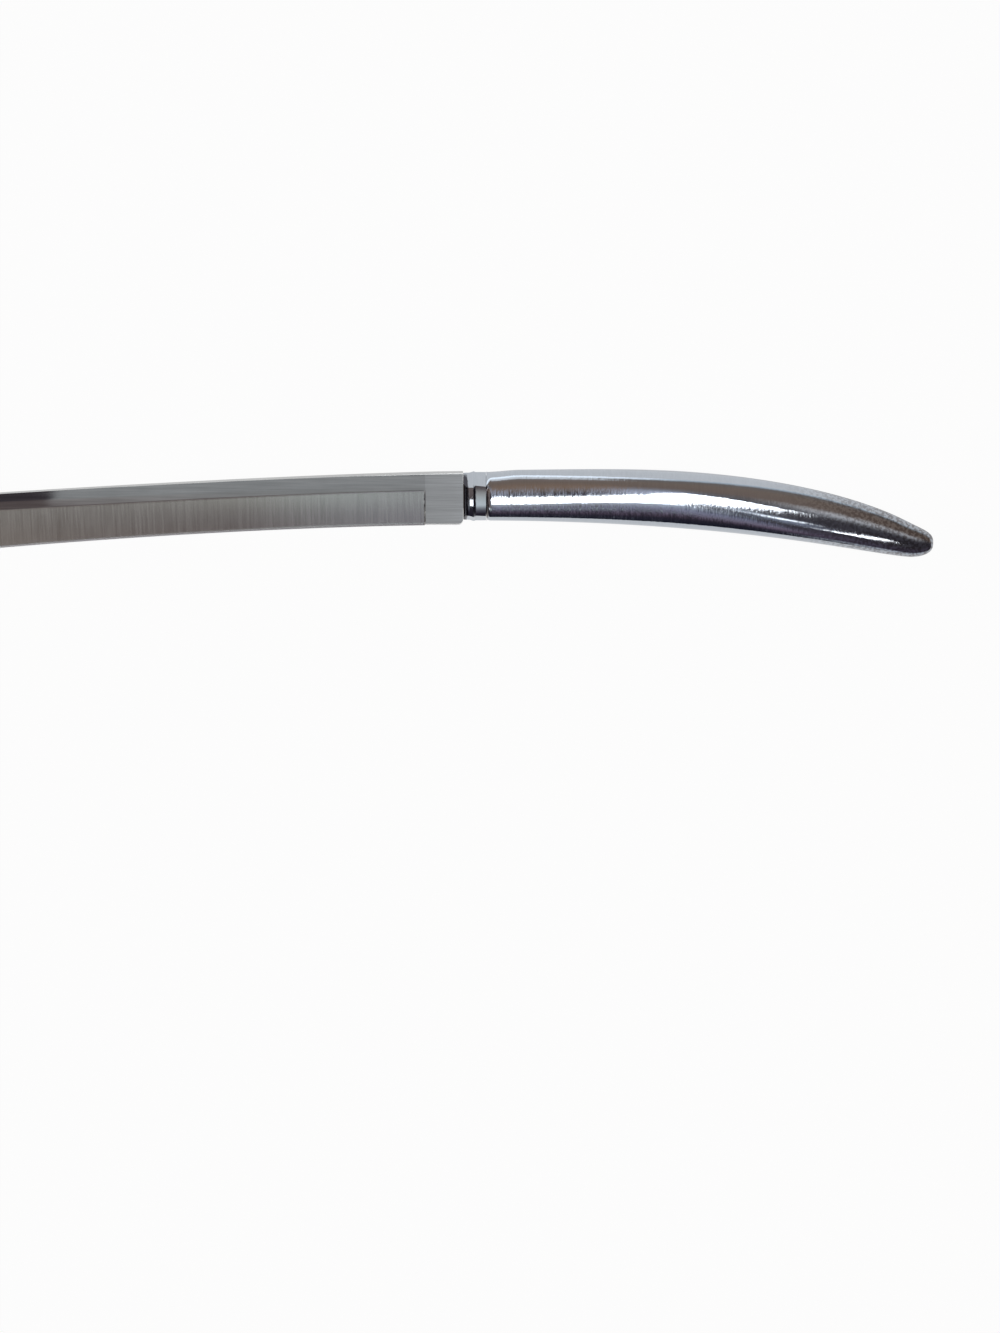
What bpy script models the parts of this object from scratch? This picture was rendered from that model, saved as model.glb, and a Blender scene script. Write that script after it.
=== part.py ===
"""Carving knife with a hollow metal handle, lying on its side.

The knife is drawn about the shoulder where the blade meets the handle: the blade runs to -X, the handle
to +X, the spine faces +Y, and Z = 0 is the plane that halves the knife's thickness. One empty carries every
piece and sets the knife down with the bottom centre of its box on the world origin. Sizes are in metres.
"""

import math

import bmesh
import bpy
import numpy as np
from mathutils import Vector

# Fits
FIT_GAP = 0.0003  # between two pieces that bear on each other

# Blade, seen from its side
BLADE_LENGTH = 0.216  # shoulder to point
SPINE_RISE = 0.0062  # spine above the handle's axis at the shoulder
SPINE_DROP = 0.0126  # how far the spine falls by the point
SPINE_CURVE = 1.38  # power of that fall
HEEL_DROP = 0.0082  # cutting edge below the handle's axis at the heel
EDGE_SAG = 0.0167  # how far the edge would fall by the point, were it not swept up
EDGE_CURVE = 1.7  # power of that fall
SWEEP_START = 0.120  # where the edge starts to sweep up to the point
SWEEP_POWER = 2.2
SWEEP_CLOSE = 0.714
POINT_HEIGHT = 0.0005  # blunt end of the point
RICASSO_LENGTH = 0.0098  # unground stretch beside the shoulder
RICASSO_RELIEF = 0.0004  # its lower side stands above the cutting edge
RICASSO_CORNER = 0.0013  # rounding of its lower corner at the shoulder

# Blade, seen in section
BLADE_THICKNESS = 0.0024  # at the ricasso
POINT_THICKNESS = 0.0007
SPINE_CHAMFER = 0.0004
FLAT_HEIGHT = 0.0049  # spine to grind line
HOLLOW_DEPTH = 0.00012  # hollow of the grind under its chord
HONED_HEIGHT = 0.0005  # honed bevel along the edge
HONED_THICKNESS = 0.0003  # blade thickness where that bevel starts
APEX_THICKNESS = 0.0001
PLUNGE_RUN = 0.0004  # length over which the grind runs out at the ricasso

# Tang, forged with the blade
TANG_LENGTH = 0.072
TANG_ROOT_WIDTH = 0.0072
TANG_END_WIDTH = 0.0048
TANG_THICKNESS = 0.0020
TANG_CHAMFER = 0.0003
KEY_HOLE_RADIUS = 0.0013  # holes that the cement grips
KEY_HOLE_FIRST = 0.032  # from the shoulder
KEY_HOLE_PITCH = 0.018
KEY_HOLE_COUNT = 2

# Neck collar
COLLAR_LENGTH = 0.0058
COLLAR_LIP = 0.0009  # front rim, proud of the blade's face
COLLAR_LIP_WIDTH = 0.0127
COLLAR_BEVEL = math.radians(58)  # tilt of the bevel on its spine side
COLLAR_BELLY = 2.5  # power of the round belly on its edge side
COLLAR_SAG = 0.00033  # its middle lies under the handle's axis
BEAD_AT = 0.0017  # end of the front rim's rounding, from the shoulder
BEAD_RISE = 0.00036  # from there to the crest
BEAD_CREST = 0.0028
BEAD_WIDTH = 0.0136
BEAD_THICKNESS = 0.0096
COVE_AT = 0.0033  # start of the level cove
COVE_WIDTH = 0.0132
COVE_THICKNESS = 0.0086
SPIGOT_LENGTH = 0.0050  # plug that the shells are soldered round

# Handle shells
HANDLE_LENGTH = 0.1237  # shoulder to butt
HANDLE_DROP = 0.0144  # how far the axis would fall by the butt, did it not level off
HANDLE_BEND = 3.12  # power of that fall
LEVEL_AT = 0.1165  # where the axis starts to level off
MOUTH_WIDTH = 0.0130
MOUTH_THICKNESS = 0.0088
FRONT_ROUND = 0.0013  # rounded shoulder behind the collar
FRONT_WIDTH = 0.0134
FRONT_THICKNESS = 0.0106
FRONT_LEAN = 0.20  # egg-shaped sections at the front, fuller on the edge's side
FRONT_LEAN_RUN = 0.046  # length over which they turn into even ovals
SWELL_AT = 0.063  # thickest place, from the shoulder
SWELL_WIDTH = 0.01515
SWELL_THICKNESS = 0.0128
BUTT_LEAN = 0.24  # egg-shaped sections again, towards the butt
BUTT_LEAN_AT = 0.050  # where they start, from the shoulder
BUTT_LEAN_RUN = 0.040
BUTT_POWER = 2.3  # fullness of the rounded butt
BUTT_CLOSE = 0.34  # bluntness of its end
SHELL_WALL = 0.0008

# Facets
OVAL_POINTS = 28
BEVEL_POINTS = 4  # of those, on the collar's bevel
BLADE_STATIONS = 12
SWEEP_STATIONS = 14
CORNER_STATIONS = 3
TANG_STATIONS = 6
ROUND_STATIONS = 5
BODY_STATIONS = 8
BUTT_STATIONS = 12
BUTT_LAST = 0.3  # where the butt's small end facet lies, in stations from the end
SPLITS = 2  # extra points across the hollow of the grind
SMOOTH_ANGLE = math.radians(25)

MOUTH_AT = COLLAR_LENGTH + FIT_GAP
SPIGOT_END = COLLAR_LENGTH + SPIGOT_LENGTH

MATERIALS = {
    # name: (base colour, metallic, roughness)
    "blade_steel": ((0.50, 0.49, 0.48), 1.0, 0.32),
    "polished_chrome": ((0.78, 0.79, 0.81), 1.0, 0.06),
    "handle_cement": ((0.42, 0.40, 0.37), 0.0, 0.90),
}


def smoothstep(share):
    """0 to 1 with level ends."""
    share = min(max(share, 0.0), 1.0)
    return share * share * (3 - 2 * share)


def quarter_round(share):
    """0 to 1 along a quarter circle that starts upright and ends level."""
    share = min(max(share, 0.0), 1.0)
    return math.sqrt(1 - (1 - share) ** 2)


# Outlines of the knife, seen from its side


def sweep(s):
    """Share of the blade's height that is left at s, from the start of the sweep to the point."""
    run = min(max((s - SWEEP_START) / (BLADE_LENGTH - SWEEP_START), 0.0), 1.0)
    return (1 - run**SWEEP_POWER) ** SWEEP_CLOSE


def spine_y(s):
    return SPINE_RISE - SPINE_DROP * (s / BLADE_LENGTH) ** SPINE_CURVE


def edge_y(s):
    straight = -HEEL_DROP - EDGE_SAG * (s / BLADE_LENGTH) ** EDGE_CURVE
    height = spine_y(s) - straight - POINT_HEIGHT
    return spine_y(s) - POINT_HEIGHT - height * sweep(s)


def blade_thickness(s):
    """Even at the ricasso, then a straight taper to the point."""
    run = max(s - RICASSO_LENGTH, 0.0) / (BLADE_LENGTH - RICASSO_LENGTH)
    return BLADE_THICKNESS + (POINT_THICKNESS - BLADE_THICKNESS) * run


def axis_y(x):
    """Height of the handle's drooping axis, which levels off in the butt."""
    fall = HANDLE_DROP * (min(max(x, 0.0), LEVEL_AT) / HANDLE_LENGTH) ** HANDLE_BEND
    slope = HANDLE_DROP * HANDLE_BEND / HANDLE_LENGTH * (LEVEL_AT / HANDLE_LENGTH) ** (HANDLE_BEND - 1)
    past = max(x - LEVEL_AT, 0.0)
    return -fall - slope * (past - past**2 / (2 * (HANDLE_LENGTH - LEVEL_AT)))


def egg_lean(x):
    """How much fuller the handle is on the edge's side than on the spine's side."""
    front = FRONT_LEAN * (1 - smoothstep((x - MOUTH_AT) / FRONT_LEAN_RUN))
    return front + BUTT_LEAN * smoothstep((x - BUTT_LEAN_AT) / BUTT_LEAN_RUN)


def handle_half(x, mouth, front, swell, inset):
    """Half of the handle's width or thickness at x, for a skin that lies inset under the outside."""
    end = HANDLE_LENGTH - inset
    if x > SWELL_AT:
        run = (x - SWELL_AT) / (end - SWELL_AT)
        return (swell / 2 - inset) * max(1 - run**BUTT_POWER, 0.0) ** BUTT_CLOSE
    rise = smoothstep((x - MOUTH_AT) / (SWELL_AT - MOUTH_AT))
    body = front / 2 + (swell - front) / 2 * rise
    opening = quarter_round((x - MOUTH_AT) / FRONT_ROUND)
    return mouth / 2 + (body - mouth / 2) * opening - inset


def handle_halves(x, inset=0.0):
    return (
        handle_half(x, MOUTH_WIDTH, FRONT_WIDTH, SWELL_WIDTH, inset),
        handle_half(x, MOUTH_THICKNESS, FRONT_THICKNESS, SWELL_THICKNESS, inset),
    )


def collar_half(x, lip, bead, cove):
    """Half of the collar's width or thickness: a rounded rim, a rising bead, a step down and a level cove."""
    toe = bead - 2 * BEAD_RISE
    if x < BEAD_AT:
        return (lip + (toe - lip) * quarter_round((x - FIT_GAP) / (BEAD_AT - FIT_GAP))) / 2
    if x < BEAD_CREST:
        return (toe + (bead - toe) * (x - BEAD_AT) / (BEAD_CREST - BEAD_AT)) / 2
    return (bead + (cove - bead) * smoothstep((x - BEAD_CREST) / (COVE_AT - BEAD_CREST))) / 2


# Sections of the knife


def paired(side):
    """A closed ring from the points (y, z) of its +Z side, listed from the top down."""
    return side + [(y, -z) for y, z in reversed(side)]


def placed(x, ring):
    return [Vector((x, y, z)) for y, z in ring]


def flat_ring(x, top, bottom, thickness, chamfer):
    """A plain bar with chamfered corners."""
    half = thickness / 2
    inner = np.linspace(top - chamfer, bottom + chamfer, SPLITS + 3)
    side = [(top, half - chamfer), *[(float(y), half) for y in inner], (bottom, half - chamfer)]
    return placed(x, paired(side))


def ground_ring(s):
    """The blade at s: chamfered spine, flat, hollow grind and honed bevel, all shrinking at the point."""
    top, bottom = spine_y(s), edge_y(s)
    shrink = min((top - bottom) / (SPINE_RISE + HEEL_DROP), 1.0)
    thin = blade_thickness(s) / BLADE_THICKNESS
    half, honed_half = blade_thickness(s) / 2, HONED_THICKNESS / 2 * thin
    chamfer = SPINE_CHAMFER * shrink
    grind_y, honed_y = top - FLAT_HEIGHT * shrink, bottom + HONED_HEIGHT * shrink
    side = [(top, half - chamfer), (top - chamfer, half), (grind_y, half)]
    for k in range(1, SPLITS + 1):
        run = k / (SPLITS + 1)
        hollow = HOLLOW_DEPTH * thin * 4 * run * (1 - run)
        side.append((grind_y + (honed_y - grind_y) * run, half + (honed_half - half) * run - hollow))
    side += [(honed_y, honed_half), (bottom, APEX_THICKNESS / 2 * thin)]
    return placed(-s, paired(side))


def ricasso_ring(s):
    """The blade at s, beside the shoulder: square, with its lower corner rounded off at the shoulder."""
    lower = edge_y(RICASSO_LENGTH) + RICASSO_RELIEF
    lift = RICASSO_CORNER * (1 - quarter_round(s / RICASSO_CORNER))
    return flat_ring(-s, spine_y(s), lower + lift, BLADE_THICKNESS, SPINE_CHAMFER)


def tang_ring(x, grow=0.0):
    """The tang at x, along the handle's axis and tapering in width."""
    half = (TANG_ROOT_WIDTH + (TANG_END_WIDTH - TANG_ROOT_WIDTH) * max(x, 0.0) / TANG_LENGTH) / 2 + grow
    return flat_ring(x, axis_y(x) + half, axis_y(x) - half, TANG_THICKNESS + 2 * grow, TANG_CHAMFER)


def oval_ring(x, half_width, half_thickness):
    """An egg-shaped section round the handle's axis."""
    y, lean = axis_y(x), egg_lean(x)
    ring = []
    for k in range(OVAL_POINTS):
        turn = 2 * math.pi * k / OVAL_POINTS
        fullness = 1 - lean * math.cos(turn)
        ring.append(Vector((x, y + half_width * math.cos(turn), half_thickness * math.sin(turn) * fullness)))
    return ring


def neck_ring(x, half_width, half_thickness):
    """A section of the collar: a straight bevel on the spine's side and a round belly on the edge's side."""
    middle = axis_y(x) - COLLAR_SAG
    brow = half_width - half_thickness / math.tan(COLLAR_BEVEL)
    rises = [k / BEVEL_POINTS for k in range(BEVEL_POINTS)]
    side = [(middle + half_width + (brow - half_width) * rise, half_thickness * rise) for rise in rises]
    for turn in np.linspace(0, math.pi / 2, OVAL_POINTS // 2 + 1 - BEVEL_POINTS):
        across = math.sin(turn)
        fall = max(1 - across**COLLAR_BELLY, 0.0) ** (1 / COLLAR_BELLY)
        side.append((middle + brow - (brow + half_width) * across, half_thickness * fall))
    return placed(x, side + [(y, -z) for y, z in side[-2:0:-1]])


def handle_rings(inset, front):
    """Rings of the handle's skin, or of a skin inset under it, from x = front to the butt."""
    end = HANDLE_LENGTH - inset
    turns = np.linspace(0, math.pi / 2, ROUND_STATIONS)
    rounded = MOUTH_AT + FRONT_ROUND * (1 - np.cos(turns))
    body = np.linspace(MOUTH_AT + FRONT_ROUND, SWELL_AT, BODY_STATIONS)
    left = np.append(np.linspace(1, 0, BUTT_STATIONS, endpoint=False), BUTT_LAST / BUTT_STATIONS)
    butt = end - (end - SWELL_AT) * left**2
    stations = [front] + sorted({float(x) for x in (*rounded, *body, *butt) if x > front})
    return [oval_ring(x, *handle_halves(x, inset)) for x in stations]


# Objects


def finish_mesh(bm, name):
    bmesh.ops.recalc_face_normals(bm, faces=bm.faces)
    mesh = bpy.data.meshes.new(name)
    bm.to_mesh(mesh)
    bm.free()
    mesh.shade_smooth()
    mesh.set_sharp_from_angle(angle=SMOOTH_ANGLE)
    return mesh


def loft(name, rings):
    """A closed mesh through rings of equal count, with flat ends."""
    bm = bmesh.new()
    loops = [[bm.verts.new(point) for point in ring] for ring in rings]
    for near, far in zip(loops, loops[1:]):
        for k in range(len(near)):
            bm.faces.new((near[k - 1], near[k], far[k], far[k - 1]))
    bm.faces.new(loops[0])
    bm.faces.new(loops[-1])
    return finish_mesh(bm, name)


def add_object(name, mesh, collection, root):
    obj = bpy.data.objects.new(name, mesh)
    collection.objects.link(obj)
    obj.parent = root
    return obj


class Knife:
    """The scene's objects: named pieces in one collection, cutters in another, all on one empty."""

    def __init__(self):
        self.pieces = self.new_collection("carving_knife")
        self.cutters = self.new_collection("cutters")
        self.root = bpy.data.objects.new("knife_root", None)
        self.pieces.objects.link(self.root)
        self.materials = {name: self.new_material(name, *look) for name, look in MATERIALS.items()}

    @staticmethod
    def new_collection(name):
        collection = bpy.data.collections.new(name)
        bpy.context.scene.collection.children.link(collection)
        return collection

    @staticmethod
    def new_material(name, colour, metallic, roughness):
        material = bpy.data.materials.new(name)
        material.use_nodes = True
        shader = material.node_tree.nodes["Principled BSDF"]
        shader.inputs["Base Color"].default_value = (*colour, 1.0)
        shader.inputs["Metallic"].default_value = metallic
        shader.inputs["Roughness"].default_value = roughness
        return material

    def piece(self, name, mesh, material):
        obj = add_object(name, mesh, self.pieces, self.root)
        if not mesh.materials:
            mesh.materials.append(self.materials[material])
        return obj

    def cutter(self, name, mesh):
        obj = add_object(name, mesh, self.cutters, self.root)
        obj.hide_render = True
        obj.display_type = "WIRE"
        return obj

    @staticmethod
    def cut(obj, cutter):
        modifier = obj.modifiers.new(cutter.name, "BOOLEAN")
        modifier.operation = "DIFFERENCE"
        modifier.object = cutter

    def stand(self):
        """Moves the empty so that the pieces' box has its bottom centre on the world origin."""
        bpy.context.view_layer.update()
        graph = bpy.context.evaluated_depsgraph_get()
        corners = []
        for obj in self.pieces.objects:
            if obj.type == "MESH":
                corners += [obj.matrix_world @ Vector(c) for c in obj.evaluated_get(graph).bound_box]
        low = [min(c[k] for c in corners) for k in range(3)]
        high = [max(c[k] for c in corners) for k in range(3)]
        self.root.location = (-(low[0] + high[0]) / 2, -(low[1] + high[1]) / 2, -low[2])


def key_hole_pins(knife, name, radius):
    """Cutters through the tang's key holes."""
    pins = []
    for k in range(KEY_HOLE_COUNT):
        x = KEY_HOLE_FIRST + KEY_HOLE_PITCH * k
        size = {"radius1": radius, "radius2": radius, "depth": 4 * TANG_THICKNESS}
        bm = bmesh.new()
        bmesh.ops.create_cone(bm, cap_ends=True, segments=OVAL_POINTS // 2, **size)
        bmesh.ops.translate(bm, vec=(x, axis_y(x), 0), verts=bm.verts)
        pins.append(knife.cutter(f"{name}_{k + 1}", finish_mesh(bm, name)))
    return pins


def build_blade(knife):
    """Blade, ricasso, shoulder and tang, forged as one piece."""
    ground = np.linspace(RICASSO_LENGTH + PLUNGE_RUN, SWEEP_START, BLADE_STATIONS)
    turns = np.linspace(0, math.pi / 2, SWEEP_STATIONS + 1)[1:]
    swept = SWEEP_START + (BLADE_LENGTH - SWEEP_START) * np.sin(turns)
    corner = RICASSO_CORNER * (1 - np.cos(np.linspace(0, math.pi / 2, CORNER_STATIONS + 1)))
    rings = [ground_ring(float(s)) for s in [*swept[::-1], *ground[::-1]]]
    rings += [ricasso_ring(float(s)) for s in [RICASSO_LENGTH, *corner[::-1]]]
    rings += [tang_ring(float(x)) for x in np.linspace(0, TANG_LENGTH, TANG_STATIONS)]
    blade = knife.piece("blade", loft("blade", rings), "blade_steel")
    for pin in key_hole_pins(knife, "key_hole", KEY_HOLE_RADIUS):
        knife.cut(blade, pin)


def tang_socket(knife):
    """Cutter for the room that the tang takes, with the cement's keys left standing in its holes."""
    ends = np.linspace(0, TANG_LENGTH, TANG_STATIONS)
    stations = [-COLLAR_LENGTH, *map(float, ends), TANG_LENGTH + FIT_GAP]
    socket = knife.cutter("tang_socket", loft("tang_socket", [tang_ring(x, FIT_GAP) for x in stations]))
    for pin in key_hole_pins(knife, "cement_key", KEY_HOLE_RADIUS - FIT_GAP):
        knife.cut(socket, pin)
    return socket


def build_collar(knife, socket):
    """Beaded neck collar, with a slot for the tang and a spigot that goes into the shells' mouth."""
    lip_thickness = BLADE_THICKNESS + 2 * COLLAR_LIP
    turns = np.linspace(0, math.pi / 2, ROUND_STATIONS)
    front = FIT_GAP + (BEAD_AT - FIT_GAP) * (1 - np.cos(turns))
    rings = []
    for x in (*map(float, front), BEAD_CREST, COVE_AT, COLLAR_LENGTH):
        half_width = collar_half(x, COLLAR_LIP_WIDTH, BEAD_WIDTH, COVE_WIDTH)
        half_thickness = collar_half(x, lip_thickness, BEAD_THICKNESS, COVE_THICKNESS)
        rings.append(neck_ring(x, half_width, half_thickness))
    inset = SHELL_WALL + FIT_GAP
    for x in (COLLAR_LENGTH, SPIGOT_END):
        rings.append(oval_ring(x, MOUTH_WIDTH / 2 - inset, MOUTH_THICKNESS / 2 - inset))
    collar = knife.piece("neck_collar", loft("neck_collar", rings), "polished_chrome")
    knife.cut(collar, socket)


def build_shells(knife):
    """The two pressed halves of the handle, split on the knife's mid-plane."""
    skin = loft("handle_shell", handle_rings(0.0, MOUTH_AT))
    cavity = knife.cutter("handle_cavity", loft("handle_cavity", handle_rings(SHELL_WALL, COLLAR_LENGTH)))
    for name, side in (("handle_shell_left", 1), ("handle_shell_right", -1)):
        shell = knife.piece(name, skin, "polished_chrome")
        knife.cut(shell, cavity)
        bm = bmesh.new()
        bmesh.ops.create_cube(bm, size=2 * HANDLE_LENGTH)
        offset = HANDLE_LENGTH - FIT_GAP / 2
        bmesh.ops.translate(bm, vec=(HANDLE_LENGTH / 2, 0, -side * offset), verts=bm.verts)
        knife.cut(shell, knife.cutter(f"{name}_other_half", finish_mesh(bm, "other_half")))


def build_filler(knife, socket):
    """Cement core that fills the shells behind the spigot and holds the tang."""
    rings = handle_rings(SHELL_WALL + FIT_GAP, SPIGOT_END + FIT_GAP)
    filler = knife.piece("cement_core", loft("cement_core", rings), "handle_cement")
    knife.cut(filler, socket)


def build():
    for obj in list(bpy.data.objects):
        bpy.data.objects.remove(obj)
    knife = Knife()
    socket = tang_socket(knife)
    build_blade(knife)
    build_collar(knife, socket)
    build_shells(knife)
    build_filler(knife, socket)
    knife.stand()


build()
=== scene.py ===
"""Looks of the carving knife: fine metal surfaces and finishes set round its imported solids.

The knife is drawn about its shoulder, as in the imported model: the blade runs to -X, the handle to +X, the
spine faces +Y and Z = 0 halves the knife's thickness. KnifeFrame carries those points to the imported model's
place. Sizes are in metres.
"""

from __future__ import annotations

import logging
import math
from dataclasses import dataclass, replace
from enum import Enum

import bmesh
import bpy
import numpy as np
from mathutils import Matrix, Vector

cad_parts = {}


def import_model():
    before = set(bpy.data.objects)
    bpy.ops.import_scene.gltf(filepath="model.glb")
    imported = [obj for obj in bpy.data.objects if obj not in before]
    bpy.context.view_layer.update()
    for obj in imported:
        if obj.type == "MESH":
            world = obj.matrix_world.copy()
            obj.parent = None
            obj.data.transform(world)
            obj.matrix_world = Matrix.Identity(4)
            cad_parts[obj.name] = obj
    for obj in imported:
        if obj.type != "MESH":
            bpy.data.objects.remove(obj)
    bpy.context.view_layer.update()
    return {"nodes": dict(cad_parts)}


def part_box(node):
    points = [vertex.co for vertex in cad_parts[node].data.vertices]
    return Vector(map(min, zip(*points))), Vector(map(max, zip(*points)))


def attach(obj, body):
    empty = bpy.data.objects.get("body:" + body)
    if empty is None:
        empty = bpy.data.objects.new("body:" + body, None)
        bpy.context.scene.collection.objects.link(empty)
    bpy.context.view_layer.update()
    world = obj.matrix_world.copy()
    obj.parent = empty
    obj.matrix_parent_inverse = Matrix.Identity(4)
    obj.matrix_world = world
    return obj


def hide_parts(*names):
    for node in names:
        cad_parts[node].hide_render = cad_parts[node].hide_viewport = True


BODY = "root"
MERGE_DISTANCE = 2e-7
GRAIN_UV = "grain"
SHADE_AND_TONE_ATTRIBUTE = "shade_and_tone_mask"
log = logging.getLogger("carving_knife")

Colour = tuple[float, float, float]
PerAxis = tuple[float, float, float]
Socket = bpy.types.NodeSocket


class BladeBand(Enum):
    """Bands of the blade's section, from the middle of the spine round to the middle of the edge."""

    SPINE = (0, 4)
    ARRIS = (1, 6)
    FLAT = (2, 8)
    ROLL = (3, 8)
    GRIND = (4, 18)
    HONED = (5, 6)
    LAND = (6, 2)

    @property
    def order(self) -> int:
        """The band's place in a section."""
        return self.value[0]

    @property
    def points(self) -> int:
        """Points that the band has in a section."""
        return self.value[1]


class BladeFinish(Enum):
    """The blade's material slots, in the mesh's order."""

    BRUSHED = 0
    CROSS_GROUND = 1
    HONED = 2


class ShellSide(Enum):
    """The handle's two pressed halves, by the side of the mid-plane that each lies on."""

    LEFT = 1
    RIGHT = -1

    @property
    def node(self) -> str:
        """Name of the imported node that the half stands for."""
        return f"handle_shell_{self.name.lower()}"


# Curves that several pieces share


def lerp(start: np.ndarray | float, end: np.ndarray | float, share: np.ndarray) -> np.ndarray:
    """Straight run from start to end by a share from 0 to 1."""
    return start + (end - start) * share


def smoothstep(share: np.ndarray) -> np.ndarray:
    """0 to 1 with level ends: 3 t squared less 2 t cubed."""
    share = np.clip(share, 0.0, 1.0)
    return share * share * (3 - 2 * share)


def quarter_round(share: np.ndarray) -> np.ndarray:
    """0 to 1 along a quarter circle that starts upright and ends level."""
    share = np.clip(share, 0.0, 1.0)
    return np.sqrt(1 - (1 - share) ** 2)


def fading(value: np.ndarray, full: float, gone: float) -> np.ndarray:
    """1 up to the full value, smoothly down to 0 where it is gone."""
    return 1 - smoothstep((value - full) / (gone - full))


def start_crowded(start: float, end: float, count: int) -> np.ndarray:
    """Stations from start to end that crowd towards start, spaced as 1 less the cosine of a quarter turn."""
    return start + (end - start) * (1 - np.cos(np.linspace(0, math.pi / 2, count)))


# Meshes


@dataclass
class RingSurface:
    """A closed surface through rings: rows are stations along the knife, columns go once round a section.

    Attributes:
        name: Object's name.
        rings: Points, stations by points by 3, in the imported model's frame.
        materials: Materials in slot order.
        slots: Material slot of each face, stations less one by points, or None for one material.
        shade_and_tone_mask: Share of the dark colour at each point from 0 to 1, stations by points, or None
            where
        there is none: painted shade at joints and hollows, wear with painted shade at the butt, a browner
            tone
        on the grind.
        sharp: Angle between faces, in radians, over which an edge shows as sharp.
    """

    name: str
    rings: np.ndarray
    materials: list[bpy.types.Material]
    slots: np.ndarray | None = None
    shade_and_tone_mask: np.ndarray | None = None
    sharp: float = math.radians(32)

    def quads(self) -> np.ndarray:
        """Joins each ring's points to the next ring's, round and round.

        Returns:
            Corner indices of every face, faces by 4.
        """
        rows, cols = self.rings.shape[:2]
        index = np.arange(rows * cols).reshape(rows, cols)
        near, far = index[:-1], index[1:]
        corners = [near, np.roll(near, -1, 1), np.roll(far, -1, 1), far]
        return np.stack(corners, axis=-1).reshape(-1, 4)

    def grain_map(self, quads: np.ndarray) -> np.ndarray:
        """A UV map whose U runs along X, so that a finish can follow the knife's length.

        Args:
            quads: Corner indices of every face.

        Returns:
            U and V for every face corner, U from the point's X and V from its place round the ring.
        """
        rows, cols = self.rings.shape[:2]
        along = self.rings[..., 0]
        around = np.broadcast_to(np.arange(cols) / cols, (rows, cols))
        uv = np.stack([along, around], axis=-1).reshape(-1, 2)
        return uv[quads.ravel()]

    def build(self) -> bpy.types.Object:
        """Makes the object, merges poles and seams, and turns its faces outwards.

        Returns:
            The linked object, at the origin, with its place in its mesh.
        """
        quads = self.quads()
        mesh = bpy.data.meshes.new(self.name)
        mesh.from_pydata(self.rings.reshape(-1, 3), [], quads)
        uv = mesh.uv_layers.new(name=GRAIN_UV)
        uv.data.foreach_set("uv", self.grain_map(quads).ravel())
        if self.shade_and_tone_mask is not None:
            shade = mesh.attributes.new(SHADE_AND_TONE_ATTRIBUTE, "FLOAT", "POINT")
            shade.data.foreach_set("value", self.shade_and_tone_mask.ravel().astype(np.float32))
        if self.slots is not None:
            mesh.polygons.foreach_set("material_index", self.slots.ravel().astype(np.int32))
        bm = bmesh.new()
        bm.from_mesh(mesh)
        bmesh.ops.remove_doubles(bm, verts=bm.verts, dist=MERGE_DISTANCE)
        bmesh.ops.recalc_face_normals(bm, faces=bm.faces)
        bm.to_mesh(mesh)
        bm.free()
        for material in self.materials:
            mesh.materials.append(material)
        mesh.shade_smooth()
        mesh.set_sharp_from_angle(angle=self.sharp)
        piece = bpy.data.objects.new(self.name, mesh)
        bpy.context.scene.collection.objects.link(piece)
        return piece


def with_poles(rings: np.ndarray) -> np.ndarray:
    """Closes both ends, each by a ring whose points all lie at the end ring's middle.

    Args:
        rings: Points, stations by points by 3.

    Returns:
        The rings, two more than before.
    """
    first = np.broadcast_to(rings[:1].mean(1, keepdims=True), rings[:1].shape)
    last = np.broadcast_to(rings[-1:].mean(1, keepdims=True), rings[-1:].shape)
    return np.concatenate([first, rings, last])


# Place of the knife


@dataclass(frozen=True)
class KnifeFrame:
    """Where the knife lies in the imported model.

    Attributes:
        shoulder: Place of the knife's own zero, the middle of its shoulder.
    """

    shoulder: np.ndarray

    @classmethod
    def from_packed(cls, blade_length: float, spine_rise: float) -> KnifeFrame:
        """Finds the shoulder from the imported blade's box.

        Args:
            blade_length: Shoulder to point.
            spine_rise: Height of the spine over the shoulder's middle.

        Returns:
            The frame, with X from the blade's point, Y from its spine and Z from its mid-plane.
        """
        low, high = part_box("blade")
        return cls(np.array([low.x + blade_length, high.y - spine_rise, (low.z + high.z) / 2]))

    def place(self, points: np.ndarray) -> np.ndarray:
        """The knife's own points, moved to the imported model's place."""
        return points + self.shoulder


# Finishes


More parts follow.
